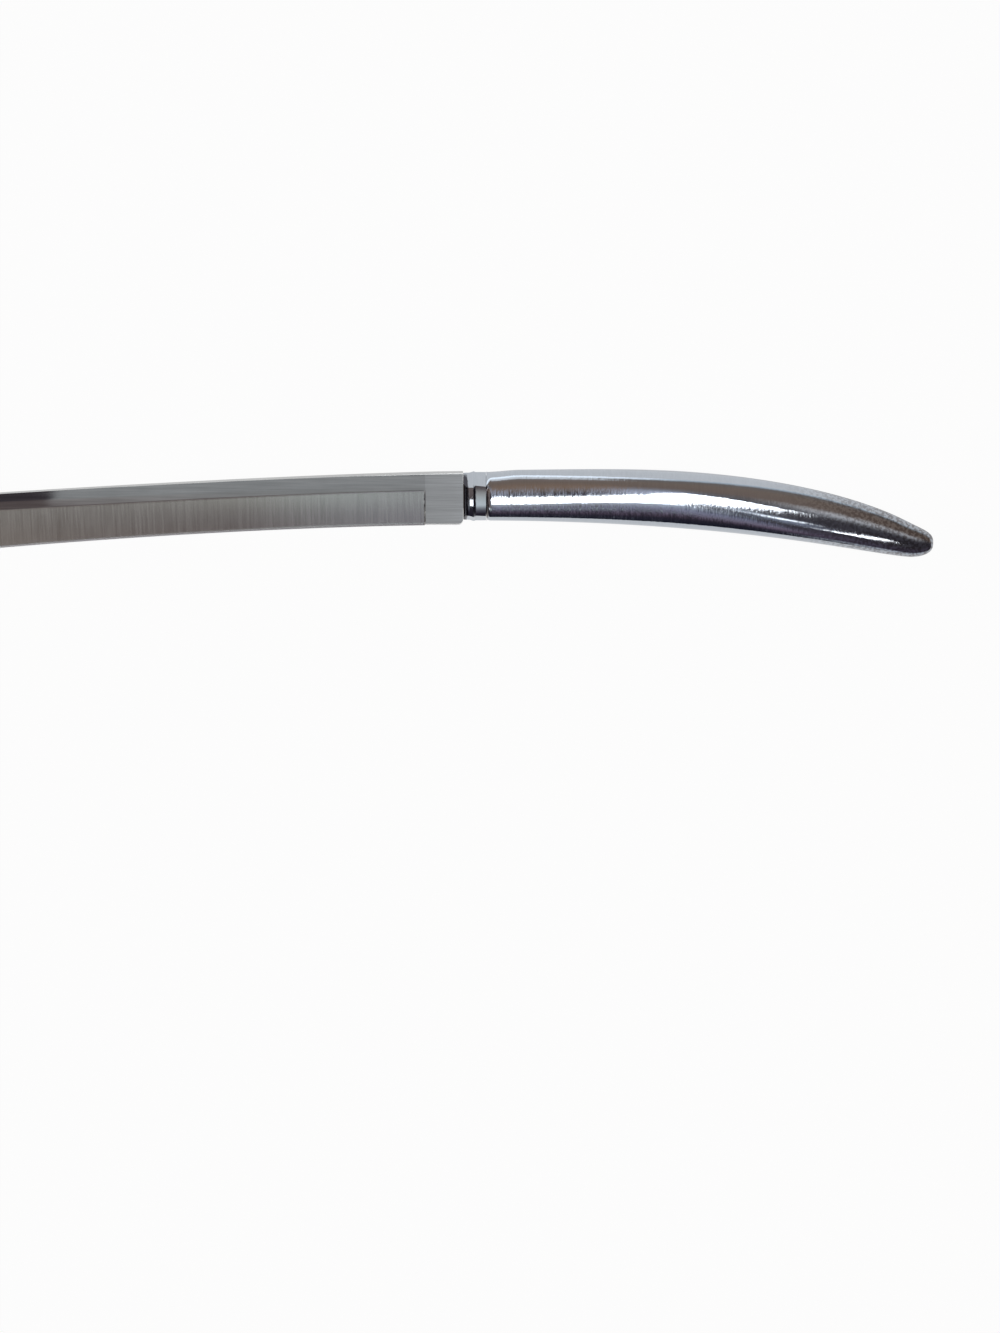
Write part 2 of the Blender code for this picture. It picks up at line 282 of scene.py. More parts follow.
class Graph:
    """A node tree with short calls that add, set and join its nodes.

    Attributes:
        noise_range: Values between which most of a noise lies.
        noise_roughness: Weight of a noise's finer octaves.
    """

    noise_range: tuple[float, float] = (0.3, 0.7)
    noise_roughness: float = 0.6

    def __init__(self, tree: bpy.types.NodeTree) -> None:
        """Empties the tree."""
        self.tree = tree
        tree.nodes.clear()

    @classmethod
    def of_material(cls, name: str) -> tuple[bpy.types.Material, Graph]:
        """Makes a material.

        Args:
            name: The material's name.

        Returns:
            The material and the graph of its nodes.
        """
        material = bpy.data.materials.new(name)
        material.use_nodes = True
        return material, cls(material.node_tree)

    def add(self, kind: str, values: dict[str, object] | None = None, **settings: object) -> bpy.types.Node:
        """Adds a node.

        Args:
            kind: The node's type name.
            values: Values for its input sockets, by name.
            **settings: The node's own settings.

        Returns:
            The node.
        """
        node = self.tree.nodes.new(kind)
        for name, value in settings.items():
            setattr(node, name, value)
        for name, value in (values or {}).items():
            node.inputs[name].default_value = value
        return node

    def join(self, source: Socket, target: Socket) -> None:
        """Links an output to an input."""
        self.tree.links.new(source, target)

    def math(self, operation: str, first: Socket | float, second: Socket | float = 0.0,
             clamp: bool = False) -> Socket:
        """Adds a Math node on two sockets or numbers.

        Args:
            operation: The Math node's operation.
            first: Socket or number.
            second: Socket or number.
            clamp: Whether the result stays from 0 to 1.

        Returns:
            The result's socket.
        """
        node = self.add("ShaderNodeMath", operation=operation, use_clamp=clamp)
        for socket, value in zip(node.inputs, (first, second)):
            if isinstance(value, Socket):
                self.join(value, socket)
            else:
                socket.default_value = value
        return node.outputs[0]

    def noise(self, scale: PerAxis, detail: float) -> Socket:
        """Noise on the piece's own coordinates.

        Args:
            scale: Repeats per metre along X, Y and Z.
            detail: Octaves of finer noise.

        Returns:
            The noise's socket, mostly within noise_range.
        """
        where = self.add("ShaderNodeTexCoord")
        mapping = self.add("ShaderNodeMapping", {"Scale": scale})
        fixed = {"Scale": 1.0, "Detail": detail, "Roughness": self.noise_roughness}
        pattern = self.add("ShaderNodeTexNoise", fixed)
        self.join(where.outputs["Object"], mapping.inputs["Vector"])
        self.join(mapping.outputs["Vector"], pattern.inputs["Vector"])
        return pattern.outputs["Fac"]

    def spread(self, source: Socket, low: float, high: float) -> Socket:
        """Carries noise from its own range to another.

        Args:
            source: The noise's socket.
            low: Value for the noise's low end.
            high: Value for its high end.

        Returns:
            The result's socket.
        """
        start, end = self.noise_range
        ends = {"From Min": start, "From Max": end, "To Min": low, "To Max": high}
        node = self.add("ShaderNodeMapRange", ends)
        self.join(source, node.inputs["Value"])
        return node.outputs["Result"]

    def step(self, source: Socket, start: float, end: float) -> Socket:
        """A smooth step from 0 at start to 1 at end.

        Args:
            source: The value's socket.
            start: Value at which the step starts.
            end: Value at which it ends.

        Returns:
            The result's socket.
        """
        ends = {"From Min": start, "From Max": end}
        node = self.add("ShaderNodeMapRange", ends, interpolation_type="SMOOTHSTEP")
        self.join(source, node.inputs["Value"])
        return node.outputs["Result"]

    def tones(self, share: Socket, tones: tuple[RoomTone, ...]) -> Socket:
        """A run of tones by the angle across the knife.

        Args:
            share: The angle, as a share of the half turn over the floor.
            tones: Tones in order of their angles.

        Returns:
            The colour's socket.
        """
        ramp = self.add("ShaderNodeValToRGB")
        stops = ramp.color_ramp.elements
        while len(stops) < len(tones):
            stops.new(0.5)
        for stop, tone in zip(stops, tones):
            stop.position = tone.angle / 180 + 0.5
            stop.color = (*tone.colour, 1.0)
        self.join(share, ramp.inputs["Fac"])
        return ramp.outputs["Color"]

    def blend(self, share: Socket, first: Colour | Socket, second: Colour | Socket) -> Socket:
        """Mixes two colours.

        Args:
            share: Share of the second colour.
            first: Colour or socket.
            second: Colour or socket.

        Returns:
            The mixed colour's socket.
        """
        node = self.add("ShaderNodeMix", data_type="RGBA")
        self.join(share, node.inputs["Factor"])
        sockets = [s for s in node.inputs if s.type == "RGBA"]
        for socket, colour in zip(sockets, (first, second)):
            if isinstance(colour, Socket):
                self.join(colour, socket)
            else:
                socket.default_value = (*colour, 1.0)
        return next(s for s in node.outputs if s.type == "RGBA")


@dataclass(frozen=True)
class ScratchedMetal:
    """Metal whose shine is broken by fine parallel scratches over a broader, cloudy wear.

    Attributes:
        name: Material's name.
        pale: Colour between scratches.
        dark: Colour in scratches.
        grain: Scratches per metre along X, Y and Z.
        roughness: Lowest and highest roughness.
        depth: Depth of the scratches.
        cloud: Patches of wear per metre.
        cloud_roughness: Roughness that the patches add or take.
        dent: Depth of the waves that go with the patches.
        peel: Depth of a finer unevenness.
        anisotropy: Stretch of highlights across the scratches.
        turn: Turn of that stretch, as a share of a full turn from the knife's length.
        shade_and_tone: Colour that the mask blends in, or None where the piece has none: painted shade at
            joints and in hollows, wear with painted shade at the butt, a browner tone on the grind.
        shade_and_tone_roughness: Roughness that the full dark colour adds.
        speck: How strongly a thin dark colour gathers in specks.
        speck_edge: Values of the specks' noise between which a speck starts.
        scratch_share: Share of the colour that the scratches set, with the rest left to the clouds.
        peel_fineness: How much finer the peel is than the clouds.
        speck_fineness: How much finer the specks are than the clouds.
    """

    name: str
    pale: Colour
    dark: Colour
    grain: PerAxis
    roughness: tuple[float, float]
    depth: float
    cloud: float = 70.0
    cloud_roughness: float = 0.03
    dent: float = 0.0
    peel: float = 0.0
    anisotropy: float = 0.0
    turn: float = 0.0
    shade_and_tone: Colour | None = None
    shade_and_tone_roughness: float = 0.25
    speck: float = 2.0
    speck_edge: tuple[float, float] = (0.46, 0.56)
    scratch_share: float = 0.75
    peel_fineness: float = 9.0
    speck_fineness: float = 7.0

    def build(self) -> bpy.types.Material:
        """Builds the material: scratches drive colour, roughness and bump, and clouds shift the roughness.

        Returns:
            The material.
        """
        material, graph = Graph.of_material(self.name)
        fixed = {"Metallic": 1.0, "Anisotropic": self.anisotropy, "Anisotropic Rotation": self.turn}
        shader = graph.add("ShaderNodeBsdfPrincipled", fixed)
        output = graph.add("ShaderNodeOutputMaterial")
        scratches = graph.noise(self.grain, detail=5.0)
        clouds = graph.noise((self.cloud,) * 3, detail=3.0)
        rough = graph.math("ADD", graph.spread(scratches, *self.roughness),
                           graph.spread(clouds, -self.cloud_roughness, self.cloud_roughness))
        bump = graph.add("ShaderNodeBump", {"Strength": 1.0, "Distance": self.depth})
        shade = graph.math("ADD", graph.math("MULTIPLY", scratches, self.scratch_share),
                           graph.math("MULTIPLY", clouds, 1 - self.scratch_share))
        colour = graph.blend(graph.spread(shade, 0.0, 1.0), self.dark, self.pale)
        waves = graph.math("MULTIPLY", clouds, self.dent / self.depth)
        fine = graph.noise((self.cloud * self.peel_fineness,) * 3, detail=2.0)
        peel = graph.math("MULTIPLY", fine, self.peel / self.depth)
        height = graph.math("ADD", scratches, graph.math("ADD", waves, peel))
        # The mask blends in the dark colour: painted shade at joints and hollows, wear with painted shade at
        # the butt and a browner tone on the grind, thin parts in specks.
        if self.shade_and_tone:
            shade_and_tone_mask = graph.add("ShaderNodeAttribute", attribute_name=SHADE_AND_TONE_ATTRIBUTE).outputs["Fac"]
            dots = graph.noise((self.cloud * self.speck_fineness,) * 3, detail=2.0)
            specks = graph.step(dots, *self.speck_edge)
            bare = graph.math("MULTIPLY", graph.math("SUBTRACT", 1.0, shade_and_tone_mask), self.speck)
            spread = graph.math("ADD", shade_and_tone_mask, graph.math("MULTIPLY", bare, specks))
            colour = graph.blend(graph.math("MULTIPLY", shade_and_tone_mask, spread, clamp=True), colour, self.shade_and_tone)
            dull = graph.math("MULTIPLY", graph.math("POWER", shade_and_tone_mask, 2.0), self.shade_and_tone_roughness)
            rough = graph.math("ADD", rough, dull)
        graph.join(colour, shader.inputs["Base Color"])
        graph.join(rough, shader.inputs["Roughness"])
        graph.join(height, bump.inputs["Height"])
        graph.join(bump.outputs["Normal"], shader.inputs["Normal"])
        if self.anisotropy:
            tangent = graph.add("ShaderNodeTangent", direction_type="UV_MAP", uv_map=GRAIN_UV)
            graph.join(tangent.outputs["Tangent"], shader.inputs["Tangent"])
        graph.join(shader.outputs["BSDF"], output.inputs["Surface"])
        return material


@dataclass(frozen=True)
class Cement:
    """Coarse grey cement, with sand grains and small voids.

    Attributes:
        name: Material's name.
        pale: Colour of the sand.
        dark: Colour of the binder.
        sand: Grains per metre.
        roughness: Lowest and highest roughness.
        depth: Depth of the voids.
    """

    name: str
    pale: Colour
    dark: Colour
    sand: float = 2200.0
    roughness: tuple[float, float] = (0.85, 0.98)
    depth: float = 0.0002

    def build(self) -> bpy.types.Material:
        """Builds the material: sand noise drives colour, roughness and bump.

        Returns:
            The material.
        """
        material, graph = Graph.of_material(self.name)
        shader = graph.add("ShaderNodeBsdfPrincipled", {"Metallic": 0.0})
        output = graph.add("ShaderNodeOutputMaterial")
        sand = graph.noise((self.sand,) * 3, detail=6.0)
        bump = graph.add("ShaderNodeBump", {"Strength": 0.6, "Distance": self.depth})
        colour = graph.blend(graph.spread(sand, 0.0, 1.0), self.dark, self.pale)
        graph.join(colour, shader.inputs["Base Color"])
        graph.join(graph.spread(sand, *self.roughness), shader.inputs["Roughness"])
        graph.join(sand, bump.inputs["Height"])
        graph.join(bump.outputs["Normal"], shader.inputs["Normal"])
        graph.join(shader.outputs["BSDF"], output.inputs["Surface"])
        return material


MIRROR_CHROME = ScratchedMetal(
    name="mirror_chrome",
    # The blue cast is painted: it stands for the bluish daylight that the chrome mirrors.
    pale=(0.575, 0.620, 0.675),
    dark=(0.52, 0.565, 0.620),
    grain=(2600.0, 300.0, 300.0),
    roughness=(0.05, 0.09),
    depth=0.000008,
    cloud=170.0,
    cloud_roughness=0.02,
    dent=0.00004,
    peel=0.000008,
    # Painted shade at the mouth's joint, and wear with painted shade at the butt's end.
    shade_and_tone=(0.15, 0.13, 0.13),
)
# Its dark colour is painted shade in the collar's crescent against the blade, behind the bead and on the
# spigot.
NECK_CHROME = replace(MIRROR_CHROME, name="neck_chrome", depth=0.000002, dent=0.0, peel=0.0,
                      shade_and_tone=(0.085, 0.085, 0.10), shade_and_tone_roughness=0.12)
BRUSHED_STEEL = ScratchedMetal(
    name="brushed_steel",
    pale=(0.650, 0.665, 0.667),
    dark=(0.45, 0.462, 0.464),
    grain=(50.0, 1500.0, 1500.0),
    roughness=(0.02, 0.04),
    depth=0.0000006,
    cloud_roughness=0.005,
    anisotropy=0.35,
    turn=0.25,
)
CROSS_GROUND_STEEL = ScratchedMetal(
    name="cross_ground_steel",
    pale=(0.81, 0.820, 0.780),
    dark=(0.57, 0.575, 0.545),
    grain=(2200.0, 70.0, 70.0),
    roughness=(0.14, 0.19),
    depth=0.000001,
    cloud_roughness=0.01,
    anisotropy=0.7,
    # A browner, darker colour that the grind takes on towards the point.
    shade_and_tone=(0.30, 0.20, 0.15),
    shade_and_tone_roughness=0.0,
    speck=0.0,
)
# The edge's colour is raised to near white, brighter than steel: a painted highlight.
HONED_STEEL_PAINTED_HIGHLIGHT = ScratchedMetal(
    name="honed_steel_painted_highlight",
    pale=(0.95, 0.95, 0.95),
    dark=(0.80, 0.80, 0.80),
    grain=(3600.0, 500.0, 500.0),
    roughness=(0.42, 0.55),
    depth=0.000002,
)
HANDLE_CEMENT = Cement(name="handle_cement_fill", pale=(0.46, 0.44, 0.41), dark=(0.33, 0.31, 0.29))


# Blade


@dataclass(frozen=True)
class Tang:
    """The bar behind the shoulder that the cement grips, tapered in width and drilled with key holes.

    Attributes:
        length: Shoulder to its end.
        root_width: Width at the shoulder.
        end_width: Width at its end.
        thickness: Its thickness.
        corner: Radius of its upper corners.
        stations: Rings along it.
        hole_radius: Radius of the key holes.
        hole_first: Shoulder to the first hole's middle.
        hole_pitch: From one hole's middle to the next.
        hole_count: Number of holes.
        hole_points: Points round a hole.
    """

    length: float = 0.072
    root_width: float = 0.0072
    end_width: float = 0.0048
    thickness: float = 0.0020
    corner: float = 0.0003
    stations: int = 40
    hole_radius: float = 0.0013
    hole_first: float = 0.032
    hole_pitch: float = 0.018
    hole_count: int = 2
    hole_points: int = 48

    def half_width(self, x: np.ndarray) -> np.ndarray:
        """Half of the tang's width, straight from root to end."""
        return lerp(self.root_width, self.end_width, x / self.length) / 2


@dataclass
class Blade:
    """Blade, ricasso, shoulder and tang, forged as one piece.

    Attributes:
        handle: The handle, whose axis the tang follows.
        length: Shoulder to point.
        spine_rise: Height of the spine at the shoulder.
        spine_drop: How far the spine falls up to the point.
        spine_curve: Power of that fall.
        heel_drop: Depth of the edge at the shoulder.
        edge_sag: How far the edge would sag up to the point.
        edge_curve: Power of that sag.
        sweep_start: Where the edge starts to sweep up to the point.
        sweep_power: Power that shapes the sweep's start.
        sweep_close: Power that shapes its end.
        point_height: Height that is left at the point.
        ricasso_length: Length of the square part behind the grind.
        ricasso_relief: How far its lower side lies above the edge.
        ricasso_corner: Radius of its lower corner at the shoulder.
        thickness: Thickness by the shoulder.
        point_thickness: Thickness at the point.
        arris: Radius of the spine's corners.
        chamfer: Chamfer along the lower side of the ricasso and the tang.
        flat_height: Height of the strip along the spine down to the grind.
        roll_height: Height of the roll between flat and grind, by the shoulder and from the sweep on.
        roll_slope: Steepness at the roll's foot, in the same two places.
        roll_power: Power of the roll's curve.
        roll_growth: Power by which its steepness grows along the blade.
        hollow_depth: Depth of the grind's hollow.
        honed_height: Height of the honed bevel.
        honed_thickness: Thickness where that bevel starts.
        apex_thickness: Thickness of the edge itself.
        plunge_run: Length of the step from the ricasso into the grind.
        plunge_guard: How far the plunge's stations reach past its ends, as a share of its length.
        grind_tone: Tarnish of the grind where it has set in.
        grind_tone_run: Stretch in front of the ricasso over which it sets in.
        sharp: Angle between faces, in radians, over which an edge shows as sharp.
        swept_stations: Rings along the sweep.
        straight_stations: Rings between the plunge and the sweep.
        plunge_stations: Rings in the plunge.
        ricasso_stations: Rings along the ricasso.
        corner_stations: Rings in the lower corner.
        tang: The bar behind the shoulder.
    """

    handle: HandleForm
    length: float = 0.216
    spine_rise: float = 0.0062
    spine_drop: float = 0.0126
    spine_curve: float = 1.38
    heel_drop: float = 0.0082
    edge_sag: float = 0.0167
    edge_curve: float = 1.7
    sweep_start: float = 0.120
    sweep_power: float = 2.2
    sweep_close: float = 0.714
    point_height: float = 0.0005
    ricasso_length: float = 0.0098
    ricasso_relief: float = 0.0004
    ricasso_corner: float = 0.0013
    thickness: float = 0.0024
    point_thickness: float = 0.0007
    arris: float = 0.00005
    chamfer: float = 0.0004
    flat_height: float = 0.0045
    roll_height: tuple[float, float] = (0.0009, 0.0024)
    roll_slope: tuple[float, float] = (0.010, 0.055)
    roll_power: float = 1.2
    roll_growth: float = 3.0
    hollow_depth: float = 0.00012
    honed_height: float = 0.0005
    honed_thickness: float = 0.0003
    apex_thickness: float = 0.00006
    plunge_run: float = 0.0004
    plunge_guard: float = 0.1
    # grind_tone: Share of a browner, darker colour on the grind where it is full.         grind_tone_run: Stretch in front of the ricasso over which it grows.
    grind_tone: float = 0.6
    grind_tone_run: float = 0.055
    sharp: float = math.radians(12)
    swept_stations: int = 70
    straight_stations: int = 90
    plunge_stations: int = 13
    ricasso_stations: int = 10
    corner_stations: int = 9
    tang: Tang = Tang()

    def spine(self, s: np.ndarray) -> np.ndarray:
        """Height of the spine at s from the shoulder: a rise less a fall that grows as a power of s."""
        return self.spine_rise - self.spine_drop * (s / self.length) ** self.spine_curve

    def edge(self, s: np.ndarray) -> np.ndarray:
        """Height of the cutting edge: a slow sag, swept up to the spine over the last stretch.

        Args:
            s: Stations from the shoulder.

        Returns:
            Heights over the shoulder's middle, in the shape of s.
        """
        sag = -self.heel_drop - self.edge_sag * (s / self.length) ** self.edge_curve
        run = np.clip((s - self.sweep_start) / (self.length - self.sweep_start), 0.0, 1.0)
        left = (1 - run**self.sweep_power) ** self.sweep_close
        spine = self.spine(s)
        return spine - self.point_height - (spine - sag - self.point_height) * left

    def half_thickness(self, s: np.ndarray) -> np.ndarray:
        """Half of the thickness: even over the ricasso, then a straight taper to the point."""
        run = np.clip((s - self.ricasso_length) / (self.length - self.ricasso_length), 0.0, 1.0)
        return lerp(self.thickness, self.point_thickness, run) / 2

    def shrink(self, s: np.ndarray) -> np.ndarray:
        """Height of the blade at s as a share of its height at the shoulder, at most 1."""
        return np.clip((self.spine(s) - self.edge(s)) / (self.spine_rise + self.heel_drop), 0.0, 1.0)

    @staticmethod
    def runs() -> list[np.ndarray]:
        """Shares along each band, crowded where the flat starts.

        Returns:
            Shares from 0 to 1 for each band in turn, with the end left to the next band.
        """
        last = list(BladeBand)[-1]
        shares = [np.linspace(0, 1, band.points, endpoint=band is last) for band in BladeBand]
        shares[BladeBand.FLAT.order] **= 2
        return shares

    def bar_section(self, top: np.ndarray, bottom: np.ndarray, half: np.ndarray, corner: np.ndarray | float,
                    roll: np.ndarray, grind: np.ndarray) -> np.ndarray:
        """One side of a plain bar, rounded above and chamfered below, band by band.

        Args:
            top: Height of its upper side, one value a station in a column.
            bottom: Height of its lower side.
            half: Half of its thickness.
            corner: Radius of its upper corner.
            roll: Height at which the band of the flat ends.
            grind: Height at which the band of the grind starts.

        Returns:
            Y and Z, stations by points by 2, from the middle of the top to the middle of the bottom.
        """
        spine, arris, flat, rolled, ground, lower, land = self.runs()
        turn, under = arris * math.pi / 2, self.chamfer
        y = [
            top + 0 * spine, top - corner * (1 - np.cos(turn)), lerp(top - corner, roll, flat),
            lerp(roll, grind, rolled), lerp(grind, bottom + under, ground),
            bottom + under * (1 - lower), bottom + 0 * land,
        ]
        z = [
            (half - corner) * spine, half - corner + corner * np.sin(turn), half + 0 * flat,
            half + 0 * rolled, half + 0 * ground,
            half - under * lower, (half - under) * (1 - land),
        ]
        return np.stack([np.concatenate(y, 1), np.concatenate(z, 1)], axis=-1)

    def ground_section(self, s: np.ndarray) -> np.ndarray:
        """One side of the ground blade at stations s, in a column.

        Under the flat, the surface rolls off as a power, then runs to the honed bevel on a straight line less
        a hollow of 4 v (1 - v), and the honed bevel runs straight to the narrow edge.

        Args:
            s: Stations, from the shoulder, in a column.

        Returns:
            Y and Z, stations by points by 2, from the middle of the spine to the middle of the edge.
        """
        top, bottom, half = self.spine(s), self.edge(s), self.half_thickness(s)
        shrink, thin = self.shrink(s), half / (self.thickness / 2)
        roll, grind = self.levels(s)
        honed = bottom + self.honed_height * shrink
        corner, honed_half = self.arris * shrink, self.honed_thickness / 2 * thin
        section = self.bar_section(top, bottom, half, corner, roll, grind)
        bands = np.split(section, np.cumsum([len(run) for run in self.runs()])[:-1], axis=1)
        rolled, ground, bevel, land = self.runs()[BladeBand.ROLL.order :]
        slope = lerp(*self.roll_slope, np.clip(s / self.sweep_start, 0.0, 1.0) ** self.roll_growth)
        drop = slope * (roll - grind) / self.roll_power * thin
        apex = self.apex_thickness / 2 * thin
        hollow = self.hollow_depth * thin * 4 * ground * (1 - ground)
        ground_z = lerp(half - drop, honed_half, ground) - hollow
        bevel_z = lerp(honed_half, apex, bevel)
        bands[BladeBand.ROLL.order][..., 1] = half - drop * rolled**self.roll_power
        bands[BladeBand.GRIND.order] = np.stack([lerp(grind, honed, ground), ground_z], -1)
        bands[BladeBand.HONED.order] = np.stack([lerp(honed, bottom, bevel), bevel_z], -1)
        bands[BladeBand.LAND.order] = np.stack([bottom + 0 * land, apex * (1 - land)], -1)
        return np.concatenate(bands, axis=1)

    def levels(self, s: np.ndarray) -> tuple[np.ndarray, np.ndarray]:
        """Heights of the roll between the flat and the grind.

        Args:
            s: Stations from the shoulder.

        Returns:
            Heights at which the flat starts to roll off and at which the grind starts.
        """
        shrink = self.shrink(s)
        grind = self.spine(s) - self.flat_height * shrink
        height = lerp(*self.roll_height, np.clip(s / self.sweep_start, 0.0, 1.0))
        return grind + height * shrink, grind

    def blade_section(self, s: np.ndarray) -> np.ndarray:
        """One side of the blade at stations s: a square ricasso that plunges into the ground section.

        Args:
            s: Stations, from the shoulder, in a column.

        Returns:
            Y and Z, stations by points by 2; the plunge is a smooth step from one section to the other.
        """
        heel = self.edge(np.array([self.ricasso_length])) + self.ricasso_relief
        lift = self.ricasso_corner * (1 - quarter_round(s / self.ricasso_corner))
        half = self.thickness / 2 + 0 * s
        bar = self.bar_section(self.spine(s), heel + lift, half, self.arris, *self.levels(s))
        plunge = smoothstep((s - self.ricasso_length) / self.plunge_run)
        return lerp(bar, self.ground_section(s), plunge[..., None])

    def tang_section(self, x: np.ndarray) -> np.ndarray:
        """One side of the tang at stations x: a bar along the handle's axis.

        Args:
            x: Stations from the shoulder, in a column.

        Returns:
            Y and Z, stations by points by 2.
        """
        axis, half = self.handle.axis(x), self.tang.half_width(x)
        thick = self.tang.thickness / 2 + 0 * x
        return self.bar_section(axis + half, axis - half, thick, self.tang.corner, axis + half / 3, axis)

    def stations(self) -> np.ndarray:
        """Stations along the blade, crowded at the point, the plunge and the lower corner.

        Returns:
            Distances from the shoulder, from the point's down to 0.
        """
        turn = np.linspace(0, math.pi / 2, self.swept_stations)
        swept = lerp(self.sweep_start, self.length, np.sin(turn))
        plunge_end = self.ricasso_length + self.plunge_run
        straight = np.linspace(plunge_end, self.sweep_start, self.straight_stations)
        share = np.linspace(-self.plunge_guard, 1 + self.plunge_guard, self.plunge_stations)
        plunge = self.ricasso_length + self.plunge_run * share
        ricasso = np.linspace(self.ricasso_corner, self.ricasso_length, self.ricasso_stations)
        corner = start_crowded(0.0, self.ricasso_corner, self.corner_stations)
        return np.unique(np.concatenate([swept, straight, plunge, ricasso, corner]))[::-1]

    @staticmethod
    def ring(x: np.ndarray, side: np.ndarray) -> np.ndarray:
        """Whole rings from one side of the sections: the side, then its mirror image back to the start.

        Args:
            x: Place of each station, in a column.
            side: Y and Z of one side, stations by points by 2.

        Returns:
            Points, stations by points by 3.
        """
        mirrored = side[:, -2:0:-1] * np.array([1.0, -1.0])
        outline = np.concatenate([side, mirrored], axis=1)
        along = np.broadcast_to(x[..., None], (*outline.shape[:2], 1))
        return np.concatenate([along, outline], axis=-1)

    def face_slots(self, s: np.ndarray, points: int) -> np.ndarray:
        """Finish of every face: grinding on the grind, honing on the lower edge, brushing elsewhere.

        Args:
            s: Stations of the blade's rings, from the point to the shoulder.
            points: Points round a ring.

        Returns:
            Slot numbers, one row for each pair of neighbouring blade rings.
        """
        counts = [band.points for band in BladeBand]
        counts[-1] -= 1
        finish = {BladeBand.GRIND: BladeFinish.CROSS_GROUND, BladeBand.HONED: BladeFinish.HONED,
                  BladeBand.LAND: BladeFinish.HONED}
        kinds = [finish.get(band, BladeFinish.BRUSHED).value for band in BladeBand]
        side = np.repeat(kinds, counts)
        around = np.concatenate([side, side[::-1]])[:points]
        ground = (s[:-1] + s[1:]) / 2 > self.ricasso_length + self.plunge_run
        honed = around == BladeFinish.HONED.value
        return np.where(ground[:, None] | honed[None], around[None], BladeFinish.BRUSHED.value)

    def drill(self, piece: bpy.types.Object, place: KnifeFrame) -> None:
        """Drills the tang's key holes through the finished mesh.

        Args:
            piece: The forged blade.
            place: Where the knife lies.
        """
        turn = np.linspace(0, 2 * math.pi, self.tang.hole_points, endpoint=False)
        rise = np.array([-1.0, 1.0])[:, None] * self.tang.thickness
        for hole in range(self.tang.hole_count):
            x = self.tang.hole_first + self.tang.hole_pitch * hole
            rim = np.stack([x + self.tang.hole_radius * np.cos(turn),
                            self.handle.axis(np.array(x)) + self.tang.hole_radius * np.sin(turn)], -1)
            height = np.broadcast_to(rise[..., None], (2, len(turn), 1))
            walls = np.concatenate([np.stack([rim, rim]), height], -1)
            drill = RingSurface("key_hole_drill", place.place(with_poles(walls)), []).build()
            cut = piece.modifiers.new(drill.name, "BOOLEAN")
            cut.operation = "DIFFERENCE"
            cut.object = drill
            graph = bpy.context.evaluated_depsgraph_get()
            drilled = bpy.data.meshes.new_from_object(piece.evaluated_get(graph))
            piece.modifiers.clear()
            piece.data = drilled
            bpy.data.objects.remove(drill)

    def build(self, place: KnifeFrame) -> bpy.types.Object:
        """Builds and dresses the blade.

        Args:
            place: Where the knife lies.

        Returns:
            The blade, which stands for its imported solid.
        """
        s = self.stations()[:, None]
        x = np.linspace(0, self.tang.length, self.tang.stations)[:, None]
        blade = self.ring(-s, self.blade_section(s))
        tang = self.ring(x, self.tang_section(x))
        rings = with_poles(np.concatenate([blade, tang]))
        slots = np.zeros((rings.shape[0] - 1, rings.shape[1]), dtype=np.int32)
        slots[1 : len(s)] = self.face_slots(s[:, 0], rings.shape[1])
        finishes = [BRUSHED_STEEL.build(), CROSS_GROUND_STEEL.build(), HONED_STEEL_PAINTED_HIGHLIGHT.build()]
        # The grind turns browner and darker from the ricasso towards the point.
        grind_tone = self.grind_tone * smoothstep((-rings[..., 0] - self.ricasso_length) / self.grind_tone_run)
        skin = RingSurface("forged_blade", place.place(rings), finishes, slots, grind_tone, self.sharp)
        piece = skin.build()
        self.drill(piece, place)
        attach(piece, BODY)
        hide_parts("blade")
        return piece


# Handle


@dataclass(frozen=True)
class Oval:
    """Size of a section.

    Attributes:
        width: Its size from the edge's side to the spine's side.
        thickness: Its size from face to face.
    """

    width: float
    thickness: float


@dataclass(frozen=True)
class NeckSection:
    """Half of the neck's section: straight bevels along both sides and a round belly between them.

    Attributes:
        bevel: Tilt of the spine's bevel from the faces, in radians.
        belly: Power of the belly's curve, 2 for an ellipse and more for a squarer one.
        foot: Share of the belly's run at which the edge's bevel starts.
        sag: How far the section's middle lies under the handle's axis.
        bevel_share: Share of the points that lie on the spine's bevel.
        foot_points: Points that lie on the edge's bevel.
    """

    bevel: float = math.radians(58)
    belly: float = 2.5
    foot: float = 0.80
    sag: float = 0.00033
    bevel_share: float = 0.27
    foot_points: int = 13

    def rows(self, width: np.ndarray, thickness: np.ndarray, count: int) -> tuple[np.ndarray, np.ndarray]:
        """Y and Z of half sections, from the spine's side over the face to the edge's side.

        The bevel rises straight from the side to the face. From there the height falls as the root of 1 less
        a power of the share that is crossed, and from the foot on straight to the other side.

        Args:
            width: Half widths, in a column.
            thickness: Half thicknesses, in a column.
            count: Points of a half section.

        Returns:
            Y and Z, each stations by points.
        """
        rising = round(count * self.bevel_share)
        up = np.linspace(0, 1, rising, endpoint=False)[None]
        turn = np.linspace(0, math.pi / 2, count - rising - self.foot_points, endpoint=False)
        foot = np.linspace(self.foot, 1, self.foot_points)
        over = np.concatenate([self.foot * np.sin(turn), foot])[None]
        brow = width - thickness / math.tan(self.bevel)
        y = np.concatenate([lerp(width, brow, up), lerp(brow, -width, over)], axis=1)
        curve = (1 - np.minimum(over, self.foot) ** self.belly) ** (1 / self.belly)
        fall = curve * np.minimum((1 - over) / (1 - self.foot), 1.0)
        return y - self.sag, np.concatenate([thickness * up, thickness * fall], axis=1)


